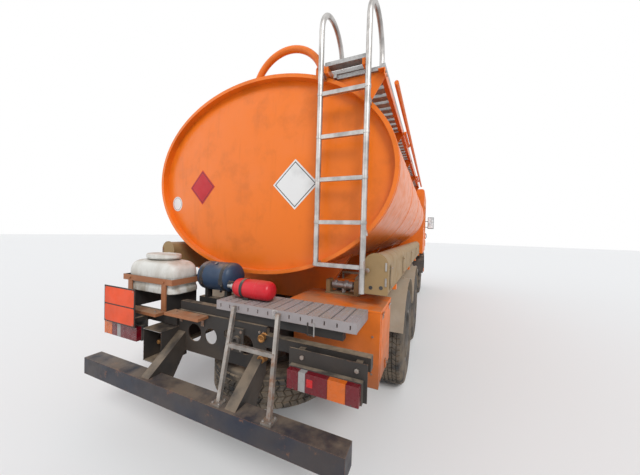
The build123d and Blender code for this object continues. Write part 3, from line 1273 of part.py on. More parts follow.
# Front bumper with its towing jaw
BUMPER_Z = (470.0, 840.0)
BUMPER_DEPTH = 200.0
BUMPER_T = 30.0
JAW_R = 22.0
JAW_W = 140.0
JAW_GAP = 44.0
JAW_CHEEK = 50.0
JAW_DEPTH = 160.0
JAW_MOUTH = 105.0  # how far the slot reaches in behind the front face
JAW_PIN_Y = FRONT_FACE + 60.0  # far enough in for the pin to pass behind the bumper's plate
JAW_Z = 640.0
JAW_CLEAR = 10.0  # round the jaw where it passes through the bumper
JAW_PLATE_W = 220.0
JAW_PLATE_T = 30.0
HEADLAMP_X = (800.0, 1060.0)
HEADLAMP_Z = (590.0, 750.0)
with BuildPart() as bumper:
    with BuildSketch(Plane.XY.offset(BUMPER_Z[0])):
        with Locations((0, FRONT_FACE + BUMPER_DEPTH / 2)):
            Rectangle(2 * CAB_HALF_W, BUMPER_DEPTH)
    extrude(amount=BUMPER_Z[1] - BUMPER_Z[0])
    fillet(bumper.edges().filter_by(Axis.Z).group_by(Axis.Y)[0], radius=90)
    with BuildSketch(Plane.XY.offset(BUMPER_Z[0])):
        with Locations((0, FRONT_FACE + BUMPER_DEPTH / 2 + BUMPER_T)):
            Rectangle(2 * (CAB_HALF_W - 70), BUMPER_DEPTH)
    extrude(amount=BUMPER_Z[1] - BUMPER_Z[0], mode=Mode.SUBTRACT)
    jaw_h = 2 * JAW_CHEEK + JAW_GAP
    with Locations((0, FRONT_FACE + BUMPER_T / 2, JAW_Z)):
        Box(JAW_W + 2 * JAW_CLEAR, BUMPER_T, jaw_h + 2 * JAW_CLEAR, mode=Mode.SUBTRACT)
    with Locations((0, FRONT_FACE + JAW_DEPTH / 2, JAW_Z)):
        Box(JAW_W, JAW_DEPTH, jaw_h)
    with Locations((0, FRONT_FACE + JAW_MOUTH / 2, JAW_Z)):
        Box(JAW_W, JAW_MOUTH, JAW_GAP, mode=Mode.SUBTRACT)
    with BuildSketch(Plane.XY.offset(JAW_Z - jaw_h / 2)):
        with Locations((0, JAW_PIN_Y)):
            Circle(JAW_R)
    extrude(amount=jaw_h, mode=Mode.SUBTRACT)
    plate_top = CROSS_MEMBERS[0][1] + CROSS_MEMBERS[0][2]
    plate_bottom = JAW_Z - jaw_h / 2
    plate_front = CROSS_MEMBERS[0][0] - CROSS_DEPTH / 2 - JAW_PLATE_T
    with Locations((0, plate_front + JAW_PLATE_T / 2, (plate_top + plate_bottom) / 2)):
        Box(JAW_PLATE_W, JAW_PLATE_T, plate_top - plate_bottom)
    for side in (-1, 1):
        with Locations((side * (RAIL_OUT - 40), (FRONT_FACE + BUMPER_T + RAIL_FRONT_Y) / 2, 800)):
            Box(80, RAIL_FRONT_Y - FRONT_FACE - BUMPER_T, 70)
    for side in (-1, 1):
        with Locations((side * sum(HEADLAMP_X) / 2, FRONT_FACE + BUMPER_T / 2, sum(HEADLAMP_Z) / 2)):
            Box(
                HEADLAMP_X[1] - HEADLAMP_X[0],
                BUMPER_T,
                HEADLAMP_Z[1] - HEADLAMP_Z[0],
                mode=Mode.SUBTRACT,
            )
save(bumper.part, "bumper")

# Lamps: the long tail lamps on their carriers and the headlamps let into the bumper
HEADLAMP_DEPTH = 90.0
LAMP_EDGE_R = 12.0
with BuildPart() as lamps:
    for side in (-1, 1):
        with Locations(
            (
                side * (LAMP_IN + LAMP_OUT) / 2,
                LAMP_REAR_Y - LAMP_DEPTH / 2,
                LAMP_TOP - LAMP_H / 2,
            )
        ):
            Box(LAMP_OUT - LAMP_IN, LAMP_DEPTH, LAMP_H)
    fillet(lamps.faces().group_by(Axis.Y)[-1].edges(), radius=LAMP_EDGE_R)
    for side in (-1, 1):
        with Locations(
            (
                side * sum(HEADLAMP_X) / 2,
                FRONT_FACE + 4 + HEADLAMP_DEPTH / 2,
                sum(HEADLAMP_Z) / 2,
            )
        ):
            Box(
                HEADLAMP_X[1] - HEADLAMP_X[0],
                HEADLAMP_DEPTH,
                HEADLAMP_Z[1] - HEADLAMP_Z[0],
            )
save(lamps.part, "lamps")


# Cab shell: one hollow form from a side profile, parted where the real panels meet
CAB_TOP_Z = 2900.0
CAB_PROFILE = [  # Y, Z down the front, over the roof and down the rear wall
    (-4100.0, CAB_FLOOR_Z),
    (-4110.0, 1350.0),
    (-4085.0, 1740.0),
    (-3870.0, 2680.0),
    (-3790.0, 2860.0),
    (CAB_REAR_Y, CAB_TOP_Z),
    (CAB_REAR_Y, CAB_FLOOR_Z),
]
CAB_EDGE_R = 70.0
ROOF_SPLIT_Z = 2700.0
SPLIT_LOW_Y = -3860.0
SPLIT_KNEE_Z = 1722.0
SPLIT_HIGH_Y = -3710.0


def cab_hull(inset):
    """The cab's outer form, drawn in by some thickness all round."""
    with BuildPart() as hull:
        with BuildSketch(Plane.YZ) as profile:
            with BuildLine():
                Polyline(*CAB_PROFILE, close=True)
            make_face()
            if inset:
                offset(amount=-inset, kind=Kind.INTERSECTION)
        extrude(profile.sketch, amount=CAB_HALF_W - inset, both=True)
        for pick in (0, -1):
            cheek = hull.faces().sort_by(Axis.X)[pick]
            rim_edges = [
                edge
                for edge in cheek.edges()
                if edge.center().Z > CAB_FLOOR_Z + inset + 1
                and edge.center().Y < CAB_REAR_Y - inset - 1
            ]
            fillet(rim_edges, radius=CAB_EDGE_R - inset)
    return hull.part


cab_outer = cab_hull(0)
cab_inner = cab_hull(CAB_WALL)
cab_shell = cab_outer - cab_inner
FAR_X = CAB_HALF_W + 100
FRONT_REGION = [
    (-4300.0, 900.0),
    (SPLIT_LOW_Y, 900.0),
    (SPLIT_LOW_Y, SPLIT_KNEE_Z),
    (SPLIT_HIGH_Y, ROOF_SPLIT_Z),
    (-4300.0, ROOF_SPLIT_Z),
]
BODY_REGION = [
    (SPLIT_LOW_Y, 900.0),
    (SPLIT_LOW_Y, SPLIT_KNEE_Z),
    (SPLIT_HIGH_Y, ROOF_SPLIT_Z),
    (CAB_REAR_Y + 100, ROOF_SPLIT_Z),
    (CAB_REAR_Y + 100, 900.0),
]
ROOF_REGION = [
    (-4300.0, ROOF_SPLIT_Z),
    (-4300.0, 3200.0),
    (CAB_REAR_Y + 100, 3200.0),
    (CAB_REAR_Y + 100, ROOF_SPLIT_Z),
]

# Doors and windows
DOOR_REAR_Y = -2960.0
DOOR_BOTTOM_Z = 1245.0
DOOR_TOP_Z = 2635.0
DOOR_SWING_GAP = 10.0  # behind the door, whose rear edge moves back a little as it opens
DOOR_PROFILE = [
    (SPLIT_LOW_Y + DOOR_GAP, DOOR_BOTTOM_Z),
    (SPLIT_LOW_Y + DOOR_GAP, SPLIT_KNEE_Z),
    (SPLIT_HIGH_Y + DOOR_GAP - 10, DOOR_TOP_Z),
    (DOOR_REAR_Y, DOOR_TOP_Z),
    (DOOR_REAR_Y, DOOR_BOTTOM_Z),
]
DOORWAY = [
    (SPLIT_LOW_Y - 60, DOOR_BOTTOM_Z - DOOR_GAP),
    (SPLIT_LOW_Y - 60, SPLIT_KNEE_Z),
    (SPLIT_HIGH_Y - 60, DOOR_TOP_Z + DOOR_GAP),
    (DOOR_REAR_Y + DOOR_SWING_GAP, DOOR_TOP_Z + DOOR_GAP),
    (DOOR_REAR_Y + DOOR_SWING_GAP, DOOR_BOTTOM_Z - DOOR_GAP),
]
DOOR_WINDOW = [(-3775.0, 1790.0), (-3655.0, 2550.0), (-3040.0, 2550.0), (-3040.0, 1790.0)]
SCREEN_HALF_W = 1060.0
SCREEN_Z = (1800.0, 2590.0)
REAR_WINDOW = (450.0, 1900.0, 2450.0)  # half width, low Z, high Z
SIDE_WINDOW = (-2820.0, -2300.0, 1880.0, 2500.0)  # front Y, rear Y, low Z, high Z
WINDOW_R = 50.0
DOOR_WINDOW_R = 40.0
GLASS_IN = 18.0
GLASS_T = 6.0
TUNNEL_X = 400.0
TUNNEL_Z = 1420.0
TUNNEL_REAR_Y = -2250.0
TUNNEL_WALL = 40.0
TUNNEL_FRONT_Y = SPLIT_LOW_Y


def side_outline(points, corner, inset):
    """A closed outline on a plane of its own, rounded at its corners and drawn in where asked."""
    with BuildSketch() as outline:
        with BuildLine():
            Polyline(*points, close=True)
        make_face()
        if corner:
            fillet(outline.vertices(), radius=corner)
        if inset:
            offset(amount=-inset)
    return outline.sketch


def prism(points, low_x, high_x, corner=0.0, inset=0.0):
    """A block from an outline in the side plane, between two places across the truck."""
    with BuildPart() as block:
        extrude(
            Plane.YZ.offset(low_x) * side_outline(points, corner, inset), amount=high_x - low_x
        )
    return block.part


side_window_points = [
    (SIDE_WINDOW[0], SIDE_WINDOW[2]),
    (SIDE_WINDOW[0], SIDE_WINDOW[3]),
    (SIDE_WINDOW[1], SIDE_WINDOW[3]),
    (SIDE_WINDOW[1], SIDE_WINDOW[2]),
]
front_block = prism(FRONT_REGION, -FAR_X, FAR_X)
body_block = prism(BODY_REGION, -FAR_X, FAR_X)
roof_block = prism(ROOF_REGION, -FAR_X, FAR_X)
doorways = prism(DOORWAY, -FAR_X, -CAB_HALF_W + CAB_WALL + 20) + prism(
    DOORWAY, CAB_HALF_W - CAB_WALL - 20, FAR_X
)
side_windows = prism(side_window_points, -FAR_X, FAR_X, WINDOW_R)
with BuildPart() as screen_block:
    with BuildSketch(Plane.XZ.offset(4300)):
        with Locations((0, sum(SCREEN_Z) / 2)):
            RectangleRounded(2 * SCREEN_HALF_W, SCREEN_Z[1] - SCREEN_Z[0], WINDOW_R)
    extrude(amount=-600)
with BuildPart() as rear_window_block:
    with BuildSketch(Plane.XZ.offset(-CAB_REAR_Y - 100)):
        with Locations((0, (REAR_WINDOW[1] + REAR_WINDOW[2]) / 2)):
            RectangleRounded(2 * REAR_WINDOW[0], REAR_WINDOW[2] - REAR_WINDOW[1], WINDOW_R)
    extrude(amount=200, both=True)

HINGE_R = 8.0
HINGE_X = CAB_HALF_W + HINGE_R + 2
HINGE_Y = SPLIT_LOW_Y + DOOR_GAP
HINGE_Z = (1380.0, 1620.0)
HINGE_H = 60.0
LEAF_T = 6.0

# Cab body: floor with the engine tunnel, rear wall and side frames in one welding
with BuildPart() as cab_body:
    add(cab_shell)
    add(body_block, mode=Mode.INTERSECT)
    add(doorways, mode=Mode.SUBTRACT)
    add(side_windows, mode=Mode.SUBTRACT)
    add(rear_window_block.part, mode=Mode.SUBTRACT)
    tunnel_mid = (TUNNEL_FRONT_Y + TUNNEL_REAR_Y) / 2
    tunnel_length = TUNNEL_REAR_Y - TUNNEL_FRONT_Y
    with Locations((0, tunnel_mid, (CAB_FLOOR_Z + TUNNEL_Z) / 2)):
        Box(2 * TUNNEL_X, tunnel_length, TUNNEL_Z - CAB_FLOOR_Z)
    with Locations(
        (0, tunnel_mid - TUNNEL_WALL / 2, (CAB_FLOOR_Z + TUNNEL_Z - TUNNEL_WALL) / 2)
    ):
        Box(
            2 * (TUNNEL_X - TUNNEL_WALL),
            tunnel_length - TUNNEL_WALL,
            TUNNEL_Z - TUNNEL_WALL - CAB_FLOOR_Z,
            mode=Mode.SUBTRACT,
        )
save(cab_body.part, "cab_body")

# Cab roof
with BuildPart() as cab_roof:
    add(cab_shell)
    add(roof_block, mode=Mode.INTERSECT)
save(cab_roof.part, "cab_roof")

# Cab front: screen frame, grille louvres, skirt, tilt lugs and the fixed halves of the door hinges
SKIRT_BOTTOM = 960.0
SKIRT_HALF_W = 1150.0
LOUVRE_HALF_W = 700.0
LOUVRE_Z = [1270.0 + 62 * step for step in range(6)]
LOUVRE_H = 34.0
LOUVRE_DEPTH_Y = -4084.0
LUG_X = (445.0, 480.0)
LUG_PIN_R = 20.0
LUG_FIT = 0.05
LUG_R = 42.0
with BuildPart() as cab_front:
    add(cab_shell)
    add(front_block, mode=Mode.INTERSECT)
    add(screen_block.part, mode=Mode.SUBTRACT)
    for louvre_z in LOUVRE_Z:
        with BuildSketch(Plane.XZ.offset(4300)):
            with Locations((0, louvre_z)):
                SlotOverall(2 * LOUVRE_HALF_W, LOUVRE_H)
        extrude(amount=-(4300 + LOUVRE_DEPTH_Y), mode=Mode.SUBTRACT)
    with Locations(
        (0, CAB_PROFILE[0][0] + CAB_WALL / 2, (SKIRT_BOTTOM + CAB_FLOOR_Z + 10) / 2)
    ):
        Box(2 * SKIRT_HALF_W, CAB_WALL, CAB_FLOOR_Z + 10 - SKIRT_BOTTOM)
    for side in (-1, 1):
        lug_mid = side * sum(LUG_X) / 2
        with BuildSketch(Plane.YZ.offset(lug_mid)):
            with Locations((CAB_HINGE_Y, CAB_HINGE_Z)):
                Circle(LUG_R)
            with BuildLine():
                Polyline(
                    (CAB_PROFILE[0][0] + 10, CAB_FLOOR_Z),
                    (CAB_PROFILE[0][0] + 10, CAB_HINGE_Z + 90),
                    (CAB_HINGE_Y - 32, CAB_HINGE_Z - 27),
                    (CAB_HINGE_Y + 30, CAB_HINGE_Z - 29),
                    (CAB_HINGE_Y + LUG_R, CAB_HINGE_Z),
                    (CAB_HINGE_Y + 20, CAB_FLOOR_Z),
                    close=True,
                )
            make_face()
            with Locations((CAB_HINGE_Y, CAB_HINGE_Z)):
                Circle(LUG_PIN_R + LUG_FIT, mode=Mode.SUBTRACT)
        extrude(amount=(LUG_X[1] - LUG_X[0]) / 2, both=True)
        for hinge_z in HINGE_Z:
            for low in (hinge_z - HINGE_H, hinge_z + HINGE_H + SEAT_GAP):
                with BuildSketch(Plane.XY.offset(low)):
                    with Locations((side * HINGE_X, HINGE_Y)):
                        Circle(HINGE_R)
                    with Locations((side * (CAB_HALF_W + LEAF_T / 2), HINGE_Y - 35)):
                        Rectangle(LEAF_T, 58)
                    with Locations((side * (CAB_HALF_W + LEAF_T / 2 + 2), HINGE_Y - 8)):
                        Rectangle(LEAF_T + 4, 8)
                extrude(amount=HINGE_H - SEAT_GAP)
save(cab_front.part, "cab_front")

# Fixed glass: windscreen, rear window and the two side windows
cab_layer = cab_hull(GLASS_IN) - cab_hull(GLASS_IN + GLASS_T)
with BuildPart() as cab_glass:
    add(cab_layer)
    add(
        (screen_block.part & front_block)
        + rear_window_block.part
        + prism(side_window_points, -FAR_X, -CAB_HALF_W + CAB_WALL, WINDOW_R)
        + prism(side_window_points, CAB_HALF_W - CAB_WALL, FAR_X, WINDOW_R),
        mode=Mode.INTERSECT,
    )
save(cab_glass.part, "cab_glass")

# Doors: the whole wall's thickness, with the window cut and its pane, a handle bar and the
# hinge's moving half
HANDLE_Y = -3060.0
HANDLE_Z = 1600.0
for door_name, side in (("door_left", 1), ("door_right", -1)):
    near, far = sorted((side * (CAB_HALF_W - CAB_WALL), side * CAB_HALF_W))
    door_slab = prism(DOOR_PROFILE, near, far)
    window_cut = prism(DOOR_WINDOW, near - 10, far + 10, DOOR_WINDOW_R)
    pane_near, pane_far = sorted((side * (CAB_HALF_W - GLASS_IN - GLASS_T), side * (CAB_HALF_W - GLASS_IN)))
    pane = prism(DOOR_WINDOW, pane_near, pane_far, DOOR_WINDOW_R, SEAT_GAP)
    save(pane, door_name.replace("door", "door_glass"))
    with BuildPart() as door:
        add(door_slab)
        add(window_cut, mode=Mode.SUBTRACT)
        with Locations((side * (CAB_HALF_W + 14), HANDLE_Y, HANDLE_Z)):
            Box(10, 150, 26)
        for grip_y in (HANDLE_Y - 65, HANDLE_Y + 65):
            with Locations((side * (CAB_HALF_W + 7), grip_y, HANDLE_Z)):
                Box(14, 20, 26)
        for hinge_z in HINGE_Z:
            with BuildSketch(Plane.XY.offset(hinge_z)):
                with Locations((side * HINGE_X, HINGE_Y)):
                    Circle(HINGE_R)
                with Locations((side * (CAB_HALF_W + LEAF_T / 2), HINGE_Y + 35)):
                    Rectangle(LEAF_T, 58)
                with Locations((side * (CAB_HALF_W + LEAF_T / 2 + 2), HINGE_Y + 8)):
                    Rectangle(LEAF_T + 4, 8)
            extrude(amount=HINGE_H)
    save(door.part, door_name)

# Seats on their pedestals
SEAT_X = 650.0
SEAT_W = 500.0
FLOOR_TOP = CAB_FLOOR_Z + CAB_WALL
with BuildPart() as seats:
    for side in (-1, 1):
        with Locations((side * SEAT_X, -3080, (FLOOR_TOP + 1460) / 2)):
            Box(360, 380, 1460 - FLOOR_TOP)
        with BuildSketch(Plane.YZ.offset(side * SEAT_X)):
            with BuildLine():
                Polyline(
                    (-3340, 1480),
                    (-3330, 1590),
                    (-2960, 1570),
                    (-2840, 2230),
                    (-2720, 2220),
                    (-2820, 1460),
                    (-3300, 1460),
                    close=True,
                )
            make_face()
        extrude(amount=SEAT_W / 2, both=True)
save(seats.part, "seats")

# Dashboard with the steering column
DASH_HALF_W = CAB_HALF_W - CAB_WALL - DOOR_GAP
WHEEL_AT = (SEAT_X, -3480.0, 1790.0)
COLUMN_DOWN = (0.0, -0.555, -0.832)
COLUMN_R = 26.0
COLUMN_L = 420.0
with BuildPart() as dashboard:
    with BuildSketch(Plane.YZ):
        with BuildLine():
            Polyline(
                (-4060, 1480),
                (-3680, 1480),
                (-3640, 1640),
                (-3840, 1770),
                (-4060, 1780),
                close=True,
            )
        make_face()
    extrude(amount=DASH_HALF_W, both=True)
    column_top = Vector(*WHEEL_AT) + Vector(*COLUMN_DOWN) * (30 + SEAT_GAP)
    with BuildSketch(Plane(origin=column_top, z_dir=COLUMN_DOWN)):
        Circle(COLUMN_R)
    extrude(amount=COLUMN_L)
    add(cab_inner, mode=Mode.INTERSECT)
save(dashboard.part, "dashboard")

# Steering wheel
STEER_RING_R = 225.0
STEER_TUBE_R = 15.0
with BuildPart() as steering_wheel:
    with Locations(Location(Plane(origin=WHEEL_AT, x_dir=(1, 0, 0), z_dir=COLUMN_DOWN))):
        Torus(STEER_RING_R, STEER_TUBE_R)
        Cylinder(42, 60)
        Box(2 * STEER_RING_R, 34, 14)
save(steering_wheel.part, "steering_wheel")

# Door mirrors' heads on arms from the screen pillars
MIRROR_X = (1290.0, 1470.0)
MIRROR_Y = (-3950.0, -3885.0)
MIRROR_Z = (1890.0, 2260.0)
MIRROR_ARM_R = 10.0
MIRROR_ARM_Y = -3898.0
with BuildPart() as mirrors:
    for side in (-1, 1):
        with Locations((side * sum(MIRROR_X) / 2, sum(MIRROR_Y) / 2, sum(MIRROR_Z) / 2)):
            Box(
                MIRROR_X[1] - MIRROR_X[0],
                MIRROR_Y[1] - MIRROR_Y[0],
                MIRROR_Z[1] - MIRROR_Z[0],
            )
        for arm_z in (MIRROR_Z[0] + 50, MIRROR_Z[0] + 240):
            with BuildSketch(Plane.YZ.offset(side * CAB_HALF_W)):
                with Locations((MIRROR_ARM_Y, arm_z)):
                    Circle(MIRROR_ARM_R)
            extrude(amount=side * (MIRROR_X[0] + 10 - CAB_HALF_W))
save(mirrors.part, "mirrors")
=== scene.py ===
# %% [markdown]
# A tanker truck, seen from behind
#
# The truck's solids come ready made as a frame of named nodes: rails, tank, wheels, cab. This lesson
# dresses them. It sets the camera where the photographer stood, lights the truck plainly, gives each
# node a finish made of noise and masks, and then models what a solid is too plain for: lamps with
# their lenses, tyre tread, a water can, padded seats, signs and bolts.

# %% Load the frame
import itertools
import json
import math

import bmesh
import bpy
from mathutils import Matrix, Vector
from mathutils.bvhtree import BVHTree


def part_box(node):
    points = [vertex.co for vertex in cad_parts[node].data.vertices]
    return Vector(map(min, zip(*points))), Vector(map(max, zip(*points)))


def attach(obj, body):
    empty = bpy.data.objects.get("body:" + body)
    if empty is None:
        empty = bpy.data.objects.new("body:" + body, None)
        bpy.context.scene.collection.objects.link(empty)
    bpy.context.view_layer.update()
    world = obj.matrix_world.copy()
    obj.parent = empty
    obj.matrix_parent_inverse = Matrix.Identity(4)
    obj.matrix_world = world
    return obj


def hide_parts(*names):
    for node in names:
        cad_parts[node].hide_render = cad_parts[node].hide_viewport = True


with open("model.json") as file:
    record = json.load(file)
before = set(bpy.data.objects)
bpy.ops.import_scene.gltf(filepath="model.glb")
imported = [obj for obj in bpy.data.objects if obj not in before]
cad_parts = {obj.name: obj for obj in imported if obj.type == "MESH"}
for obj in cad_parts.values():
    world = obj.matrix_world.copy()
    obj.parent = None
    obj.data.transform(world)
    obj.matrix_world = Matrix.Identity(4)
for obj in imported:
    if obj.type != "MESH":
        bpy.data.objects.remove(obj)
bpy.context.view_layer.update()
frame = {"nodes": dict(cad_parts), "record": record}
scene = bpy.context.scene
X, Y, Z = (Vector(axis) for axis in ((1, 0, 0), (0, 1, 0), (0, 0, 1)))

# %% [markdown]
# The camera. A photograph's view can be found by trial, or worked out from corners whose real places
# are known. Here the bar's ends, the tank's outline and the ladder's rungs gave one place and one set
# of axes, so the camera is put together from those: a wide lens, low behind the right rear corner.

# %% Camera
CAMERA_AT = Vector((-1.4599, 5.3243, 1.6733))
CAMERA_RIGHT = Vector((-0.91686, -0.39820, 0.02841))
CAMERA_UP = Vector((0.03389, -0.00672, 0.99940))
LENS, SENSOR = 14.63, 36.0

camera = bpy.data.objects.new("camera", bpy.data.cameras.new("camera"))
camera.data.lens = LENS
camera.data.sensor_width = SENSOR
camera.data.sensor_fit = "HORIZONTAL"
axes = Matrix((CAMERA_RIGHT, CAMERA_UP, CAMERA_RIGHT.cross(CAMERA_UP))).transposed()
camera.matrix_world = Matrix.Translation(CAMERA_AT) @ axes.to_4x4()
scene.collection.objects.link(camera)
scene.camera = camera
print("camera lens", LENS)

# %% [markdown]
# A kit for node trees. A tree could be wired by hand in the editor, but this truck has some thirty
# finishes that share their masks. So a node is made and fed in one call, where a socket takes either a
# number or another node's output, and arithmetic on masks reads like a sum.

# %% Node kit
def feed(tree, node, sockets):
    """Feeds a node's sockets, each with a value of its own or with another node's output."""
    for key, value in sockets.items():
        socket = node.inputs[key]
        if isinstance(value, bpy.types.NodeSocket):
            tree.links.new(value, socket)
        else:
            socket.default_value = value
    return node


def add(tree, kind, settings=None, **sockets):
    """A new node: settings go on the node, and sockets are named with _ in place of a space."""
    made = tree.nodes.new(kind)
    for key, value in (settings or {}).items():
        setattr(made, key, value)
    return feed(tree, made, {key.replace("_", " "): value for key, value in sockets.items()})


def sums(tree, operation, first, second=0.0):
    """One arithmetic step on two masks or numbers, kept between 0 and 1."""
    made = add(tree, "ShaderNodeMath", {"operation": operation, "use_clamp": True})
    return feed(tree, made, {0: first, 1: second}).outputs[0]


def times(tree, first, *others):
    """The product of several masks or numbers."""
    for other in others:
        first = sums(tree, "MULTIPLY", first, other)
    return first


def highest(tree, first, *others):
    """The highest of several masks."""
    for other in others:
        first = sums(tree, "MAXIMUM", first, other)
    return first


def new_finish(name):
    """An empty material: itself, its node tree and its shader."""
    made = bpy.data.materials.new(name)
    made.use_nodes = True
    return made, made.node_tree, made.node_tree.nodes["Principled BSDF"]


def as_object(cell, name):
    """Turns a bmesh into a mesh object of the scene, with its place in its mesh."""
    mesh = bpy.data.meshes.new(name)
    cell.to_mesh(mesh)
    cell.free()
    made = bpy.data.objects.new(name, mesh)
    scene.collection.objects.link(made)
    return made


print("node kit ready")

# %% [markdown]
# Light. A studio look needs little: a pale world that fills every shadow, one broad key lamp, and a
# pale floor. The level matters more than the shape: a surface painted 0.2 should also render near
# 0.2, so that the paint is judged and not the lamp. The camera sees a white world, while the truck is
# lit by a weaker one.

# %% World, lamps and floor
SKY, SKY_STRENGTH, WHITE = (0.93, 0.95, 1.0, 1.0), 0.62, (1.0, 1.0, 1.0, 1.0)
FLOOR_HALF, FLOOR_COLOUR, FLOOR_ROUGH = 60.0, (0.80, 0.80, 0.79, 1), 0.9
LAMPS = {  # the way it shines, strength, softness in degrees
    "key": ((0.55, -0.65, -0.75), 1.9, 25),
    "fill": ((-0.7, -0.5, -0.35), 0.55, 60),
}
scene.view_settings.view_transform = "Standard"
world = bpy.data.worlds.new("studio")
scene.world = world
world.use_nodes = True
tree = world.node_tree
lit = feed(tree, tree.nodes["Background"], {"Color": SKY, "Strength": SKY_STRENGTH})
seen = add(tree, "ShaderNodeBackground", Color=WHITE)
rays = add(tree, "ShaderNodeLightPath").outputs
shown = highest(tree, rays["Is Camera Ray"], rays["Is Transmission Ray"], rays["Is Glossy Ray"])
mixed = feed(tree, add(tree, "ShaderNodeMixShader"), {0: shown, 1: lit.outputs[0], 2: seen.outputs[0]})
tree.links.new(mixed.outputs[0], tree.nodes["World Output"].inputs[0])

for name, (towards, strength, softness) in LAMPS.items():
    data = bpy.data.lights.new(name, "SUN")
    data.energy = strength
    data.angle = math.radians(softness)
    lamp = bpy.data.objects.new(name, data)
    lamp.rotation_mode = "QUATERNION"
    lamp.rotation_quaternion = Vector(towards).to_track_quat("-Z", "Y")
    scene.collection.objects.link(lamp)

cell = bmesh.new()
bmesh.ops.create_grid(cell, x_segments=1, y_segments=1, size=FLOOR_HALF)
floor = as_object(cell, "floor")
floor_paint, tree, shader = new_finish("floor")
feed(tree, shader, {"Base Color": FLOOR_COLOUR, "Roughness": FLOOR_ROUGH})
floor.data.materials.append(floor_paint)
print("world, floor and lamps", list(LAMPS))

# %% [markdown]
# Masks. Every finish below is a Principled shader whose colour, roughness and bump are mixed by masks.
# A mask is a number from 0 to 1 over the surface: noise for stains, a bevelled normal for worn edges,
# the surface's height for road dirt, its slope for settled dust. Written as small functions, the masks
# read like the finish they make.

# %% Masks
def between(tree, value, low, high):
    """Turns a value into a mask that rises from 0 at low to 1 at high."""
    made = add(tree, "ShaderNodeMapRange", {"interpolation_type": "SMOOTHSTEP"}, Value=value, From_Min=low,
               From_Max=high)
    return made.outputs["Result"]


def place(tree, stretch=(1, 1, 1)):
    """Object coordinates, stretched so that a pattern runs longer along one axis."""
    at = add(tree, "ShaderNodeTexCoord").outputs["Object"]
    return add(tree, "ShaderNodeMapping", Vector=at, Scale=stretch).outputs["Vector"]


def noise(tree, size, detail=6.0, stretch=(1, 1, 1), rough=0.55):
    """Cloudy noise whose patches are about this many metres across."""
    return add(tree, "ShaderNodeTexNoise", Vector=place(tree, stretch), Scale=1.0 / size, Detail=detail,
               Roughness=rough).outputs["Fac"]


def patches(tree, size, detail, low, high, **shape):
    """Noise cut between two levels, so that it lies in patches with soft rims."""
    return between(tree, noise(tree, size, detail, **shape), low, high)


def worn_edges(tree, reach):
    """1 at corners, 0 on flat ground: the bevelled normal turned against the true one."""
    round_normal = add(tree, "ShaderNodeBevel", {"samples": 6}, Radius=reach).outputs["Normal"]
    true_normal = add(tree, "ShaderNodeNewGeometry").outputs["True Normal"]
    turn = add(tree, "ShaderNodeVectorMath", {"operation": "DOT_PRODUCT"})
    return between(tree, feed(tree, turn, {0: round_normal, 1: true_normal}).outputs["Value"], 0.985, 0.80)


def road_dirt(tree, high, low, size, detail, rise, full, share):
    """Dirt thrown up by the wheels: none above a height, most below another, broken up by patches."""
    at = add(tree, "ShaderNodeTexCoord").outputs["Object"]
    height = add(tree, "ShaderNodeSeparateXYZ", Vector=at).outputs["Z"]
    return times(tree, between(tree, height, high, low), patches(tree, size, detail, rise, full), share)


def settled_dust(tree, size, rise, full, share):
    """Dust that lies in patches on what faces the sky."""
    normal = add(tree, "ShaderNodeNewGeometry").outputs["Normal"]
    upward = between(tree, add(tree, "ShaderNodeSeparateXYZ", Vector=normal).outputs["Z"], 0.55, 0.98)
    return times(tree, upward, patches(tree, size, 7, rise, full), share)


def tint(tree, mask, under, over):
    """Mixes two colours by a mask: under where it is 0, over where it is 1."""
    made = add(tree, "ShaderNodeMix", {"data_type": "RGBA"})
    under, over = [c if isinstance(c, bpy.types.NodeSocket) else (*c[:3], 1.0) for c in (under, over)]
    return feed(tree, made, {0: mask, 6: under, 7: over}).outputs[2]


def shade(colour, share):
    """A colour made darker, or lighter with a share over 1."""
    return tuple(min(1, c * share) for c in colour)


def relief(tree, height, depth, under=None):
    """Bump from a mask, this many metres deep, on top of another relief."""
    made = add(tree, "ShaderNodeBump", Height=height, Distance=depth, Strength=1.0)
    if under is not None:
        tree.links.new(under, made.inputs["Normal"])
    return made.outputs["Normal"]


print("masks ready")

# %% [markdown]
# Paint on steel. Real truck paint is one colour only in the catalogue. Sun fades it in clouds, stones
# and boots take it off the edges down to primer and rust, dust lies on what faces up, and the road
# leaves a brown veil low down. Each layer is a mask over the last, in the order in which it came.

# %% Painted metal
DUST, SOIL = (0.33, 0.25, 0.17), (0.075, 0.055, 0.04)
RUST, FRESH_RUST, LIGHT_RUST = (0.16, 0.055, 0.02), (0.30, 0.13, 0.06), (0.33, 0.16, 0.08)
MATT_SPECULAR = 0.35


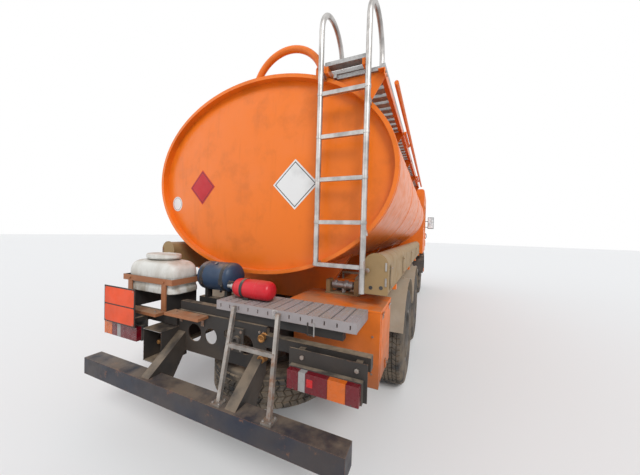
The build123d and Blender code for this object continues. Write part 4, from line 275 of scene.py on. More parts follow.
def painted(name, colour, gloss=0.35, fade=0.25, chips=0.5, rust=0.3, dust=0.5, soil=0.5, streaks=0.0):
    """Painted metal with fading, chipped edges, rust, settled dust and road dirt, each from 0 to 1."""
    made, tree, shader = new_finish(name)
    pale = tuple(c + (0.62 - c) * 0.20 for c in colour)
    tone = tint(tree, times(tree, patches(tree, 0.9, 5, 0.45, 0.75), fade), colour, pale)
    tone = tint(tree, times(tree, patches(tree, 0.23, 8, 0.52, 0.30), 0.55), tone, shade(colour, 0.72))
    if streaks:
        runs = patches(tree, 0.07, 4, 0.54, 0.80, stretch=(1, 1, 0.09))
        tone = tint(tree, times(tree, runs, streaks), tone, shade(colour, 0.45))
    speckle = noise(tree, 0.012, 9, rough=0.7)
    bare = times(tree, worn_edges(tree, 0.006), between(tree, speckle, 0.62 - 0.30 * chips, 0.66))
    if rust:
        spots = patches(tree, 0.11, 10, 0.70 - 0.16 * rust, 0.78 - 0.10 * rust, rough=0.72)
        bare = highest(tree, bare, spots)
    tone = tint(tree, bare, tone, tint(tree, speckle, RUST, FRESH_RUST))
    veil = road_dirt(tree, 1.3, 0.35, 0.3, 6, 0.30, 0.62, soil)
    lying = settled_dust(tree, 0.16, 0.32, 0.62, dust)
    matt = highest(tree, bare, veil, lying)
    coat = sums(tree, "ADD", gloss, times(tree, patches(tree, 0.07, 6, 0.4, 0.7), 0.14))
    ripple = relief(tree, noise(tree, 0.5, 2), 0.004)
    feed(tree, shader, {
        "Base Color": tint(tree, lying, tint(tree, veil, tone, SOIL), DUST),
        "Roughness": highest(tree, coat, times(tree, matt, 0.86)),
        "Normal": relief(tree, times(tree, speckle, matt), 0.0012, ripple),
        "Specular IOR Level": MATT_SPECULAR,
    })
    return made


# %% [markdown]
# Bare metal. Steel tube is bright where hands and boots rub it and dull between; galvanised sheet has
# the faint crystals called spangle; old iron is mostly rust. One function makes all three: the metal's
# colour and polish, and how much of it has gone brown.

# %% Bare metal
def bare_metal(name, colour, polish=0.35, rust=0.3, spangle=0.0, dust=0.3, soil=0.4):
    """Unpainted metal, from bright tube to rusty iron."""
    made, tree, shader = new_finish(name)
    grain = noise(tree, 0.010, 8, rough=0.7)
    tone = tint(tree, patches(tree, 0.09, 7, 0.35, 0.7), colour, shade(colour, 0.62))
    if spangle:
        crystals = add(tree, "ShaderNodeTexVoronoi", Vector=place(tree), Scale=70.0).outputs["Color"]
        value = add(tree, "ShaderNodeSeparateColor", Color=crystals).outputs[0]
        tone = tint(tree, times(tree, value, spangle), tone, shade(colour, 1.5))
    stain = patches(tree, 0.17, 10, 0.66 - 0.30 * rust, 0.80 - 0.28 * rust, rough=0.68)
    edge = times(tree, worn_edges(tree, 0.005), between(tree, grain, 0.60, 0.45))
    brown = highest(tree, stain, times(tree, edge, rust))
    tone = tint(tree, brown, tone, tint(tree, grain, RUST, LIGHT_RUST))
    veil = road_dirt(tree, 1.3, 0.4, 0.25, 6, 0.3, 0.6, soil)
    lying = settled_dust(tree, 0.12, 0.35, 0.6, dust)
    matt = highest(tree, brown, veil, lying)
    sheen = sums(tree, "ADD", polish, times(tree, grain, 0.18))
    feed(tree, shader, {
        "Base Color": tint(tree, lying, tint(tree, veil, tone, SOIL), DUST),
        "Roughness": highest(tree, sheen, times(tree, matt, 0.88)),
        "Metallic": sums(tree, "SUBTRACT", 0.92, matt),
        "Normal": relief(tree, times(tree, grain, matt), 0.0012),
    })
    return made


# %% [markdown]
# Rubber, plastic and cloth. These hardly shine, so what sells them is a fine relief and the dust that
# sits in it. Rubber also goes grey-brown low on the side wall; sun-bleached plastic pales in patches,
# and the water can is grimy most of all near its foot.

# %% Rubber, plastic and glass
DRY_MUD, GRIME = (0.16, 0.125, 0.09), (0.22, 0.165, 0.10)
GRIME_NONE, GRIME_FULL, GRIME_LEAST = 1.42, 1.12, 0.30


def moulded(name, colour, rough=0.6, bleach=0.2, dust=0.4, soil=0.4, pebble=0.006, depth=0.0004, grime=0.0):
    """Moulded plastic or rubber with a fine pebbled skin, bleached in patches and grimy lower down."""
    made, tree, shader = new_finish(name)
    pale = tuple(c + (0.5 - c) * 0.35 for c in colour)
    tone = tint(tree, times(tree, patches(tree, 0.2, 6, 0.4, 0.7), bleach), colour, pale)
    tone = tint(tree, road_dirt(tree, 1.4, 0.2, 0.13, 8, 0.30, 0.62, soil), tone, DRY_MUD)
    tone = tint(tree, settled_dust(tree, 0.1, 0.35, 0.6, dust), tone, DUST)
    if grime:
        at = add(tree, "ShaderNodeTexCoord").outputs["Object"]
        height = add(tree, "ShaderNodeSeparateXYZ", Vector=at).outputs["Z"]
        where = highest(tree, between(tree, height, GRIME_NONE, GRIME_FULL), GRIME_LEAST)
        smears = patches(tree, 0.09, 8, 0.36, 0.62, stretch=(1, 1, 0.5))
        tone = tint(tree, times(tree, where, smears, grime), tone, GRIME)
    feed(tree, shader, {
        "Base Color": tone,
        "Roughness": sums(tree, "ADD", rough, times(tree, noise(tree, 0.05, 4), 0.15)),
        "Normal": relief(tree, noise(tree, pebble, 3), depth),
        "Specular IOR Level": MATT_SPECULAR,
    })
    return made


def clear_glass(name, colour):
    """Window glass with a light film of dust."""
    made, tree, shader = new_finish(name)
    film = patches(tree, 0.3, 7, 0.35, 0.75)
    feed(tree, shader, {
        "Base Color": tint(tree, film, colour, shade(colour, 0.9)),
        "Roughness": times(tree, film, 0.12),
        "Transmission Weight": 1.0,
        "IOR": 1.1,
    })
    return made


# %% [markdown]
# The finishes of this truck, one for each slot that the frame's record names, and one assignment for
# all nodes. The orange is a strong gloss orange, dusty on top and dirty low down.

# %% Finishes
ORANGE = (0.76, 0.165, 0.010)
PAINTS = {  # colour, gloss, fade, chips, rust, dust, soil, streaks
    "tank_orange": (ORANGE, 0.30, 0.18, 0.25, 0.0, 0.30, 0.5, 0.18),
    "orange_paint": (ORANGE, 0.42, 0.30, 0.7, 0.35, 0.50, 0.8, 0.25),
    "chassis_paint": ((0.022, 0.021, 0.021), 0.5, 0.1, 0.5, 0.35, 0.8, 0.85),
    "bar_paint": ((0.016, 0.020, 0.034), 0.45, 0.1, 0.9, 0.75, 0.4, 0.5),
    "red_paint": ((0.56, 0.012, 0.022), 0.28, 0.1, 0.4, 0.0, 0.2, 0.3),
    "blue_paint": ((0.014, 0.036, 0.078), 0.4, 0.1, 0.5, 0.2, 0.7, 0.5),
    "grip_planks": ((0.30, 0.27, 0.27), 0.5, 0.3, 0.6, 0.35, 0.35, 0.3),
    "khaki_paint": ((0.29, 0.19, 0.085), 0.55, 0.3, 0.5, 0.15, 0.6, 0.5),
    "wheel_steel": ((0.17, 0.16, 0.15), 0.45, 0.3, 0.7, 0.5, 0.3, 0.8),
    "cast_iron": ((0.045, 0.042, 0.040), 0.6, 0.2, 0.6, 0.6, 0.5, 0.95),
}
METALS = {  # colour, polish, rust, spangle, dust, soil
    "galvanised": ((0.38, 0.375, 0.37), 0.42, 0.2, 0.35, 0.4, 0.5),
    "ladder_steel": ((0.54, 0.52, 0.50), 0.30, 0.22, 0.0, 0.1, 0.3),
    "bare_steel": ((0.42, 0.39, 0.36), 0.45, 0.55, 0.0, 0.3, 0.6),
}
MOULDINGS = {  # colour, roughness, bleach, dust, soil, pebble size, pebble depth, grime
    "black_plastic": ((0.025, 0.025, 0.026), 0.5, 0.2, 0.5, 0.6),
    "beige_plastic": ((0.36, 0.29, 0.21), 0.62, 0.4, 0.5, 0.6),
    "lamp_plastic": ((0.35, 0.010, 0.012), 0.18, 0.0, 0.2, 0.3),
    "white_plastic": ((0.62, 0.61, 0.57), 0.4, 0.1, 0.5, 0.2, 0.006, 0.0004, 0.75),
    "tyre_rubber": ((0.020, 0.019, 0.019), 0.72, 0.25, 0.6, 0.95),
    "seat_fabric": ((0.05, 0.05, 0.06), 0.9, 0.3, 0.2, 0.0, 0.003, 0.0008),
}
finishes = {"cab_glass": clear_glass("cab_glass", (0.80, 0.88, 0.88))}
for make, table in ((painted, PAINTS), (bare_metal, METALS), (moulded, MOULDINGS)):
    finishes.update({name: make(name, *row) for name, row in table.items()})
for part in frame["record"]["subparts"]:
    for slot in frame["nodes"][part["node"]].material_slots:
        slot.material = finishes[part["material_slot"]]

# %% [markdown]
# Helpers for new pieces. A bmesh is filled with a few kinds of shape: a box between two corners, a
# round bar between two points, a turned outline, a bent rod. Each is one bmesh operator and a matrix.
# When the bmesh is full, it becomes a piece: doubles merged, faces turned outwards, edges rounded,
# and tied to the body that carries it.

# %% Helpers for shapes
def paint_new(cell, before, index):
    """Gives the faces made since a count the material of this index."""
    cell.faces.ensure_lookup_table()
    for face in cell.faces[before:]:
        face.material_index = index


def block(cell, low, high, index=0):
    """A box between two corners."""
    before = len(cell.faces)
    low, high = Vector(low), Vector(high)
    at = Matrix.Translation((low + high) / 2) @ Matrix.Diagonal((*(high - low), 1.0))
    made = bmesh.ops.create_cube(cell, size=1.0, matrix=at)
    paint_new(cell, before, index)
    return made["verts"]


def bar(cell, start, end, radius, sides=16, index=0, tip=None):
    """A round bar from one point to another, or a cone where the tip has its own radius."""
    before = len(cell.faces)
    start, end = Vector(start), Vector(end)
    turn = (end - start).to_track_quat("Z", "Y").to_matrix().to_4x4()
    bmesh.ops.create_cone(
        cell, cap_ends=True, segments=sides, radius1=radius, radius2=radius if tip is None else tip,
        depth=(end - start).length, matrix=Matrix.Translation((start + end) / 2) @ turn)
    paint_new(cell, before, index)


def bolts(cell, places, out, radius=0.012, height=0.009, index=0):
    """Hexagon heads that stand out from a face along a direction."""
    for at in places:
        bar(cell, at, Vector(at) + out * height, radius, 6, index)


def turned(cell, outline, at, axis, steps=32, index=0, close=False):
    """A turned shape: pairs of distance along the axis and radius, spun once round it."""
    before = len(cell.faces)
    axis = Vector(axis).normalized()
    side = axis.orthogonal().normalized()
    verts = [cell.verts.new(Vector(at) + axis * along + side * radius) for along, radius in outline]
    pairs = list(zip(verts, verts[1:])) + ([(verts[-1], verts[0])] if close else [])
    edges = [cell.edges.new(pair) for pair in pairs]
    bmesh.ops.spin(cell, geom=verts + edges, cent=at, axis=axis, angle=math.tau, steps=steps, use_merge=True)
    paint_new(cell, before, index)


def rod(cell, points, radius, index=0, smooth=True, closed=False):
    """A bent rod along a few points, swept by a curve and added as mesh."""
    before = len(cell.faces)
    line = bpy.data.curves.new("rod", "CURVE")
    line.dimensions = "3D"
    line.bevel_depth = radius
    line.bevel_resolution = 3
    line.resolution_u = 6
    line.use_fill_caps = True
    run = line.splines.new("NURBS" if smooth else "POLY")
    run.points.add(len(points) - 1)
    for place_on, at in zip(run.points, points):
        place_on.co = (*at, 1.0)
    run.use_cyclic_u = closed
    if smooth:
        run.order_u = 3
        run.use_endpoint_u = not closed
    holder = bpy.data.objects.new("rod", line)
    swept = bpy.data.meshes.new_from_object(holder)
    cell.from_mesh(swept)
    bpy.data.objects.remove(holder)
    bpy.data.curves.remove(line)
    bpy.data.meshes.remove(swept)
    paint_new(cell, before, index)


def round_edges(cell, edges, offset, segments):
    """Rounds edges with a bevel this far in from the edge, in a number of steps."""
    bmesh.ops.bevel(cell, geom=edges, offset=offset, offset_type="OFFSET", segments=segments, profile=0.5,
                    affect="EDGES", material=-1)


print("shape helpers ready")

# %% [markdown]
# Places that repeat, such as the bolts of a flange or of a plate, are a circle or a grid. Both helpers
# give a plain list of places, so that one call sets all the bolts. The last helper finishes a piece.

# %% Helpers for places and pieces
ROUND_ABOVE = math.radians(40)


def on_circle(centre, radius, count, axis, phase=0.0):
    """Places on a circle round the X, Y or Z axis through a centre."""
    first, second = {"X": (1, 2), "Y": (0, 2), "Z": (0, 1)}[axis]
    places = []
    for n in range(count):
        at = list(centre)
        at[first] += radius * math.cos(phase + math.tau * n / count)
        at[second] += radius * math.sin(phase + math.tau * n / count)
        places.append(at)
    return places


def grid(*rows):
    """All places that some X, Y and Z values give together; a row may be one number."""
    return list(itertools.product(*[row if isinstance(row, tuple) else (row,) for row in rows]))


def piece(cell, name, slot, coats=(), body="chassis", replaced=(), rounding=0.0, sharp=35):
    """Makes a bmesh into a piece of the truck: closed, facing outwards, tied to its body."""
    bmesh.ops.remove_doubles(cell, verts=cell.verts, dist=1e-5)
    bmesh.ops.recalc_face_normals(cell, faces=cell.faces)
    made = as_object(cell, name)
    made.data.shade_smooth()
    made.data.set_sharp_from_angle(angle=math.radians(sharp))
    for coat in coats or [slot]:
        made.data.materials.append(finishes[coat])
    if rounding:
        edge = made.modifiers.new("rounding", "BEVEL")
        edge.width = rounding
        edge.segments = 2
        edge.limit_method = "ANGLE"
        edge.angle_limit = ROUND_ABOVE
        edge.harden_normals = True
    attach(made, body)
    if replaced:
        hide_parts(*replaced)
    return made


print("piece helpers ready")

# %% [markdown]
# Tyres. A truck tyre is a turned shape until its tread: so the side wall is an outline with its bead,
# rim guard and ribs, spun round the axle. The tread rows are then twisted a little, row against row,
# and each face is inset and pushed out, which leaves zigzag grooves between the blocks. The steered
# wheels carry plain ribs, so there the inset goes round whole strips.

# %% Tyre shapes
TYRE_SIDE = [  # distance from the tyre's middle, radius: from the bead up to the shoulder
    (0.0965, 0.2640), (0.1060, 0.2700), (0.1100, 0.2840), (0.1185, 0.3000), (0.1172, 0.3070),
    (0.1270, 0.3350), (0.1322, 0.3650), (0.1340, 0.3900), (0.1336, 0.4140), (0.1349, 0.4170),
    (0.1349, 0.4230), (0.1325, 0.4260), (0.1300, 0.4500), (0.1262, 0.4720), (0.1225, 0.4920),
    (0.1135, 0.5060),
]
TREAD_ROWS = [0.1010, 0.0606, 0.0202]
TREAD_BASE, TREAD_DEPTH, TREAD_STEPS = 0.5115, 0.0125, 60
RIB_GAP, BLOCK_GAP = 0.0045, 0.0050
ROW_TWIST = {0.0606: 0.35, 0.0202: -0.20, -0.0202: 0.20, -0.0606: -0.35}  # share of one step


def tyre_shape(name, ribbed):
    """A tyre round the X axis at the origin."""
    cell = bmesh.new()
    half = TYRE_SIDE + [(row, TREAD_BASE) for row in TREAD_ROWS]
    turned(cell, half + [(-x, r) for x, r in reversed(half)], (0, 0, 0), X, TREAD_STEPS, close=True)
    bmesh.ops.remove_doubles(cell, verts=cell.verts, dist=1e-5)
    bmesh.ops.recalc_face_normals(cell, faces=cell.faces)
    step = math.tau / TREAD_STEPS
    on_tread = {v for v in cell.verts if abs(Vector((0, v.co.y, v.co.z)).length - TREAD_BASE) < 1e-4}
    strips = {}
    for face in cell.faces:
        if all(v in on_tread for v in face.verts):
            strips.setdefault(round(face.calc_center_median().x, 3), []).append(face)
    if ribbed:
        for strip in strips.values():
            bmesh.ops.inset_region(cell, faces=strip, thickness=RIB_GAP, depth=TREAD_DEPTH,
                                   use_even_offset=True, use_boundary=True)
    else:
        for vert in on_tread:
            share = ROW_TWIST.get(round(vert.co.x, 4), 0.0)
            bmesh.ops.rotate(cell, verts=[vert], cent=(0, 0, 0), matrix=Matrix.Rotation(share * step, 3, "X"))
        bmesh.ops.inset_individual(cell, faces=[f for s in strips.values() for f in s],
                                   thickness=BLOCK_GAP, depth=TREAD_DEPTH, use_even_offset=True)
    mesh = bpy.data.meshes.new(name)
    cell.to_mesh(mesh)
    cell.free()
    return mesh


drive_tyre = tyre_shape("drive_tyre", False)
steer_tyre = tyre_shape("steer_tyre", True)
print("tyre triangles", sum(len(p.vertices) - 2 for p in drive_tyre.polygons))

# %% [markdown]
# Wheels. The six wheel bodies get their tyres at the same places as the solids they stand for, and
# their nuts and hub bolts, which are turned with them. Twin wheels carry two tyres on one body.

# %% Tyres and wheel nuts
AXLE_Z = 0.525
AXLES = {"front": -2.83, "middle": 0.86, "rear": 2.18}
TWIN_HALF, NUT_RING, HUB_RING, NUT_COUNT = 0.1575, 0.1425, 0.092, 10
TRACK = {False: 1.035, True: 0.9475}  # distance of a wheel's middle: single, twin
DISC_OUT = {False: 0.082, True: 0.007}
HUB_OUT = {False: 0.135, True: 0.165}
HUB_CAP = [(0, 0.070), (0.012, 0.070), (0.018, 0.060), (0.018, 0.0)]


def add_mesh(cell, mesh, at):
    """Adds a copy of a mesh to a bmesh under a matrix."""
    before = len(cell.verts)
    cell.from_mesh(mesh)
    cell.verts.ensure_lookup_table()
    bmesh.ops.transform(cell, matrix=at, verts=cell.verts[before:])


for end, axle_y in AXLES.items():
    twin = end != "front"
    track = TRACK[twin]
    for hand, side in (("left", 1), ("right", -1)):
        body = f"wheels_{end}_{hand}"
        cell = bmesh.new()
        for middle in ((track - TWIN_HALF, track + TWIN_HALF) if twin else (track,)):
            at = Matrix.Translation((side * middle, axle_y, AXLE_Z))
            add_mesh(cell, drive_tyre if twin else steer_tyre, at)
        piece(cell, f"tyre_tread_{end}_{hand}", "tyre_rubber", body=body, replaced=[f"tyre_{end}_{hand}"])
        cell = bmesh.new()
        out = X * side
        hub = (side * (track + HUB_OUT[twin]), axle_y, AXLE_Z)
        nuts = on_circle((side * (track + DISC_OUT[twin]), axle_y, AXLE_Z), NUT_RING, NUT_COUNT, "X")
        bolts(cell, nuts, out, 0.017, 0.024)
        for at in nuts:
            bar(cell, at, Vector(at) + out * 0.036, 0.010, 8)
        bolts(cell, on_circle(hub, HUB_RING, NUT_COUNT, "X", 0.2), out, 0.011, 0.009)
        turned(cell, HUB_CAP, hub, out, 24)
        piece(cell, f"wheel_nuts_{end}_{hand}", "bare_steel", body=body, rounding=0.001)
print("wheels dressed", len(AXLES) * 2)

# %% [markdown]
# The spare lies flat under the rear of the frame: the same tyre turned on its side, a wheel with hand
# holes, and the plate and screw that hold it up. The disc is a turned plate; its holes are left as
# raised rings, because nobody sees through them against the dark.

# %% Spare wheel
SPARE_AT = Vector((-0.2, 3.325, 0.515))
CARRIER_LOW, CARRIER_HIGH = Vector((-0.422, 3.285, 0.800)), Vector((0.422, 3.365, 0.820))
RIM_TOP = [  # height over the wheel's middle, radius
    (-0.117, 0.280), (-0.105, 0.262), (0.105, 0.262), (0.117, 0.280), (0.117, 0.268), (0.105, 0.250),
    (0.012, 0.250), (0.008, 0.110), (0.050, 0.080), (0.050, 0.0),
]
RIM_BELOW = [(-0.117, 0.280), (-0.117, 0.268), (-0.105, 0.250), (-0.004, 0.250), (-0.004, 0.0)]
HOLE_RIM = [(0, 0.026), (0.006, 0.030), (0.012, 0.026)]
CARRIER_DISH = [
    (-0.060, 0.0), (-0.060, 0.022), (-0.036, 0.022), (-0.034, 0.110), (-0.004, 0.118), (-0.004, 0.0),
]
cell = bmesh.new()
add_mesh(cell, drive_tyre, Matrix.Translation(SPARE_AT) @ Matrix.Rotation(math.radians(90), 4, "Y"))
piece(cell, "spare_tyre", "tyre_rubber", replaced=["spare_wheel"])
cell = bmesh.new()
turned(cell, RIM_TOP, SPARE_AT, Z, 40)
turned(cell, RIM_BELOW, SPARE_AT, Z, 40)
for hole in on_circle(SPARE_AT - Z * 0.010, 0.2, 8, "Z"):
    turned(cell, HOLE_RIM, hole, Z, 16, close=True)
piece(cell, "spare_rim", "wheel_steel")
cell = bmesh.new()
bar(cell, SPARE_AT + Z * 0.045, (SPARE_AT.x, SPARE_AT.y, CARRIER_LOW.z + 0.002), 0.018)
block(cell, CARRIER_LOW, CARRIER_HIGH)
turned(cell, CARRIER_DISH, SPARE_AT, Z, 24)
piece(cell, "spare_carrier", "chassis_paint", rounding=0.002)
print("spare wheel at", SPARE_AT[:])

# %% [markdown]
# Lenses. A lamp's lens is coloured plastic over a dark box, ribbed inside, so it glows only where it
# catches light. A clear coat over a deep colour, with a fine ribbed relief, gives that; each colour
# is one finish, and the lens of one lamp is a row of blocks in a black frame.

# %% Lens finishes
LENSES = {
    "lens_dark_red": (0.150, 0.003, 0.010),
    "lens_red": (0.60, 0.010, 0.014),
    "lens_amber": (0.66, 0.13, 0.008),
    "lens_clear": (0.34, 0.33, 0.32),
}
LENS_GRIME, RIBS_PER_METRE = (0.12, 0.09, 0.07), 160.0


def lens(name, colour):
    """Coloured lens plastic with fine upright ribs under a dusty clear coat."""
    made, tree, shader = new_finish(name)
    grime = patches(tree, 0.05, 6, 0.42, 0.75)
    stripes = add(tree, "ShaderNodeTexWave", {"wave_type": "BANDS", "bands_direction": "X"},
                  Vector=place(tree), Scale=RIBS_PER_METRE)
    feed(tree, shader, {
        "Base Color": tint(tree, times(tree, grime, 0.22), colour, LENS_GRIME),
        "Roughness": sums(tree, "ADD", 0.12, times(tree, grime, 0.5)),
        "Normal": relief(tree, stripes.outputs["Fac"], 0.0006),
        "Coat Weight": 0.35,
        "Coat Roughness": 0.12,
        "Specular IOR Level": 0.3,
    })
    return made


finishes.update({name: lens(name, colour) for name, colour in LENSES.items()})
finishes["reflector"] = bare_metal("reflector", (0.85, 0.85, 0.86), 0.08, 0)
LAMP_COATS = ["black_plastic", *LENSES, "reflector"]
print("lens finishes", list(LENSES))

# %% [markdown]
# Tail lamps. A truck's tail lamp is a long black tray with its lenses side by side. One block with
# painted bands would do from afar, but here each lens is a block of its own with a hair's gap to the
# next, so the joints between the colours are real. The right lamp carries a small square reflector.

# %% Tail lamps
SIDES = {"right": -1, "left": 1}
TRAY = (Vector((0.690, 3.930, 0.745)), Vector((1.140, 3.962, 0.870)))
LENS_Y, LENS_GAP, TRAY_RIM, TRAY_EDGE = (3.960, 4.000), 0.0008, 0.007, 0.006
LENS_ROWS = {  # from the truck's middle outwards: lens, width
    "right": [("dark_red", 0.075), ("clear", 0.045), ("dark_red", 0.137), ("amber", 0.105),
              ("dark_red", 0.076)],
    "left": [("dark_red", 0.150), ("dark_red", 0.060), ("clear", 0.048), ("dark_red", 0.070),
             ("amber", 0.110)],
}


def mirrored(at, side):
    """The same place on the left, with 1, or on the right, with -1."""
    return Vector((side * at[0], at[1], at[2]))


for hand, side in SIDES.items():
    cell = bmesh.new()
    block(cell, mirrored(TRAY[0], side), mirrored(TRAY[1], side))
    reach = TRAY[0].x + TRAY_EDGE
    for colour, width in LENS_ROWS[hand]:
        block(cell, (side * (reach + LENS_GAP), LENS_Y[0], TRAY[0].z + TRAY_RIM),
              (side * (reach + width - LENS_GAP), LENS_Y[1], TRAY[1].z - TRAY_RIM),
              LAMP_COATS.index("lens_" + colour))
        reach += width
    if hand == "right":
        block(cell, (-0.826, 3.990, 0.790), (-0.864, 4.0015, 0.835), LAMP_COATS.index("lens_red"))
    for screw_x in (TRAY[0].x + 0.05, TRAY[1].x - 0.05):
        bar(cell, (side * screw_x, 3.998, 0.758), (side * screw_x, 4.0005, 0.758), 0.005, 10)
    piece(cell, f"tail_lamp_{hand}", "lamp_plastic", LAMP_COATS, rounding=0.004,
          replaced=["lamps"] if hand == "right" else ())
print("tail lamps", len(LENS_ROWS))

# %% [markdown]
# Headlamps. Each is a black case let into the bumper: its face is inset and pushed back, two bright
# bowls stand in the recess, and one pane closes it. A bowl is a turned outline with a bulb before it.

# %% Headlamps
LAMP_CASE = (Vector((0.800, -4.146, 0.590)), Vector((1.060, -4.056, 0.750)))
RECESS, CASE_RIM, LAMP_MID_Z = 0.021, 0.007, 0.670
BOWLS = ((0.985, 0.062), (0.868, 0.050))  # distance from the truck's middle, radius
PANE_IN, PANE_Y = 0.006, (-4.1465, -4.143)
finishes["lamp_glass"] = clear_glass("lamp_glass", (0.92, 0.94, 0.94))
for hand, side in SIDES.items():
    cell = bmesh.new()
    case = block(cell, mirrored(LAMP_CASE[0], side), mirrored(LAMP_CASE[1], side))
    front = min({f for v in case for f in v.link_faces}, key=lambda f: f.calc_center_median().y)
    bmesh.ops.inset_region(cell, faces=[front], thickness=CASE_RIM)
    bmesh.ops.translate(cell, verts=front.verts, vec=(0, RECESS, 0))
    for bowl_x, bowl_r in BOWLS:
        at = Vector((side * bowl_x, LAMP_CASE[0].y + RECESS, LAMP_MID_Z))
        bowl = [(-0.004, bowl_r + 0.004), (-0.004, bowl_r), (0.004, bowl_r * 0.92), (0.010, bowl_r * 0.70),
                (0.013, bowl_r * 0.40), (0.014, 0.0)]
        turned(cell, bowl, at - Y * 0.014, Y, 32, LAMP_COATS.index("reflector"))
        bar(cell, at - Y * 0.006, at, 0.010, 12, LAMP_COATS.index("lens_clear"), 0.006)
    piece(cell, f"headlamp_{hand}", "lamp_plastic", LAMP_COATS, rounding=0.0015)
    cell = bmesh.new()
    block(cell, (side * (LAMP_CASE[0].x + PANE_IN), PANE_Y[0], LAMP_CASE[0].z + PANE_IN),
          (side * (LAMP_CASE[1].x - PANE_IN), PANE_Y[1], LAMP_CASE[1].z - PANE_IN))
    piece(cell, f"headlamp_glass_{hand}", "lamp_plastic", ["lamp_glass"], rounding=0.001)
print("headlamps", len(SIDES))

# %% [markdown]
# Signs. Hazard plates, diamonds and the speed disc are thin sheets, and here they stay blank. The
# plate's black frame and middle line are the black sheet seen between two raised orange panels with
# rounded corners.

# %% Sign finishes and the hazard plate
SIGN_PAINTS = {  # colour, gloss, fade, chips, rust, dust, soil, streaks
    "sign_orange": ((0.74, 0.068, 0.008), 0.45, 0.1, 0.2, 0.0, 0.2, 0.5, 0.1),
    "sign_black": ((0.012, 0.012, 0.012), 0.5, 0.2, 0.3, 0.0, 0.2, 0.4),
    "sign_white": ((0.70, 0.70, 0.69), 0.4, 0.1, 0.0, 0.0, 0.1, 0.2),
    "sign_red": ((0.46, 0.012, 0.020), 0.45, 0.1, 0.0, 0.0, 0.1, 0.3),
}
finishes.update({name: painted(name, *row) for name, row in SIGN_PAINTS.items()})
PLATE_X, PLATE_Z, PLATE_Y = (0.648, 1.048), (0.886, 1.186), 4.045
PANELS_Z = ((0.896, 1.031), (1.041, 1.176))
FRAME_LINE, SCREW_Y = 0.010, PLATE_Y + 0.0015
cell = bmesh.new()
block(cell, (PLATE_X[0], PLATE_Y, PLATE_Z[0]), (PLATE_X[1], SCREW_Y, PLATE_Z[1]), 1)
for low, high in PANELS_Z:
    panel = block(cell, (PLATE_X[0] + FRAME_LINE, PLATE_Y + 0.001, low),
                  (PLATE_X[1] - FRAME_LINE, PLATE_Y + 0.003, high))
    corners = {e for v in panel for e in v.link_edges if abs(e.verts[0].co.y - e.verts[1].co.y) > 1e-4}
    round_edges(cell, list(corners), 0.012, 4)
bolts(cell, grid((0.668, 1.028), SCREW_Y, (0.905, 1.167)), Y, 0.006, 0.004, 2)
piece(cell, "hazard_plate", "chassis_paint", ["sign_orange", "sign_black", "bare_steel"])
print("hazard plate", round(PLATE_X[1] - PLATE_X[0], 3), "wide")

# %% [markdown]
# The diamonds and the disc lie on the tank's domed head. A flat sign would stand off at its corners,
# so a thin circle of four or forty sides is inset twice for its line, cut into a grid, and each of its
# corners is dropped on to the head by a ray. Then the sheet gets its thickness.

# %% Diamonds and disc on the tank's head
depsgraph = bpy.context.evaluated_depsgraph_get()
head_tree = BVHTree.FromObject(frame["nodes"]["tank_shell"], depsgraph)
SHEET, STAND_OFF, BEHIND_HEAD = 0.001, 0.0012, 3.7
SIGNS = [  # name, x, z, radius, sides, margin, line, ground
    ("sign_white_diamond", -0.396, 2.066, 0.2095, 4, 0.014, 0.007, "sign_white"),
    ("sign_red_diamond", 0.655, 2.086, 0.170, 4, 0.012, 0.005, "sign_red"),
    ("sign_disc", 1.040, 1.932, 0.076, 40, 0.010, 0.004, "sign_white"),
]
for name, x, z, radius, sides, margin, line, ground in SIGNS:
    cell = bmesh.new()
    shape = bmesh.ops.create_circle(cell, cap_ends=True, segments=sides, radius=radius)
    face = [f for v in shape["verts"] for f in v.link_faces][0]
    if sides == 4:
        bmesh.ops.rotate(cell, verts=cell.verts, matrix=Matrix.Rotation(math.radians(90), 3, "Z"))
    bmesh.ops.inset_region(cell, faces=[face], thickness=margin, use_boundary=True, use_even_offset=True)
    rim = bmesh.ops.inset_region(cell, faces=[face], thickness=line, use_boundary=True, use_even_offset=True)
    for ring_face in rim["faces"]:
        ring_face.material_index = 1
    if sides == 4:
        bmesh.ops.subdivide_edges(cell, edges=cell.edges[:], cuts=5, use_grid_fill=True)
    for vert in cell.verts:
        start = Vector((x + vert.co.x, BEHIND_HEAD, z + vert.co.y))
        vert.co = (start.x, head_tree.ray_cast(start, -Y)[0].y + STAND_OFF, start.z)
    bmesh.ops.recalc_face_normals(cell, faces=cell.faces)
    if sum(f.normal.y for f in cell.faces) < 0:
        bmesh.ops.reverse_faces(cell, faces=cell.faces)
    bmesh.ops.solidify(cell, geom=cell.faces[:], thickness=SHEET)
    piece(cell, name, "tank_orange", [ground, "sign_black"])
print("signs on the head", len(SIGNS))

# %% [markdown]
# The wash-water can. Blow-moulded cans get their strength from ribs: a box with large rounded corners,
# pinched between the ribs, under a domed shoulder and a broad screwed lid. Here the box is cut into
# storeys, and the storeys between the ribs are drawn in a little before a subdivision rounds it all.

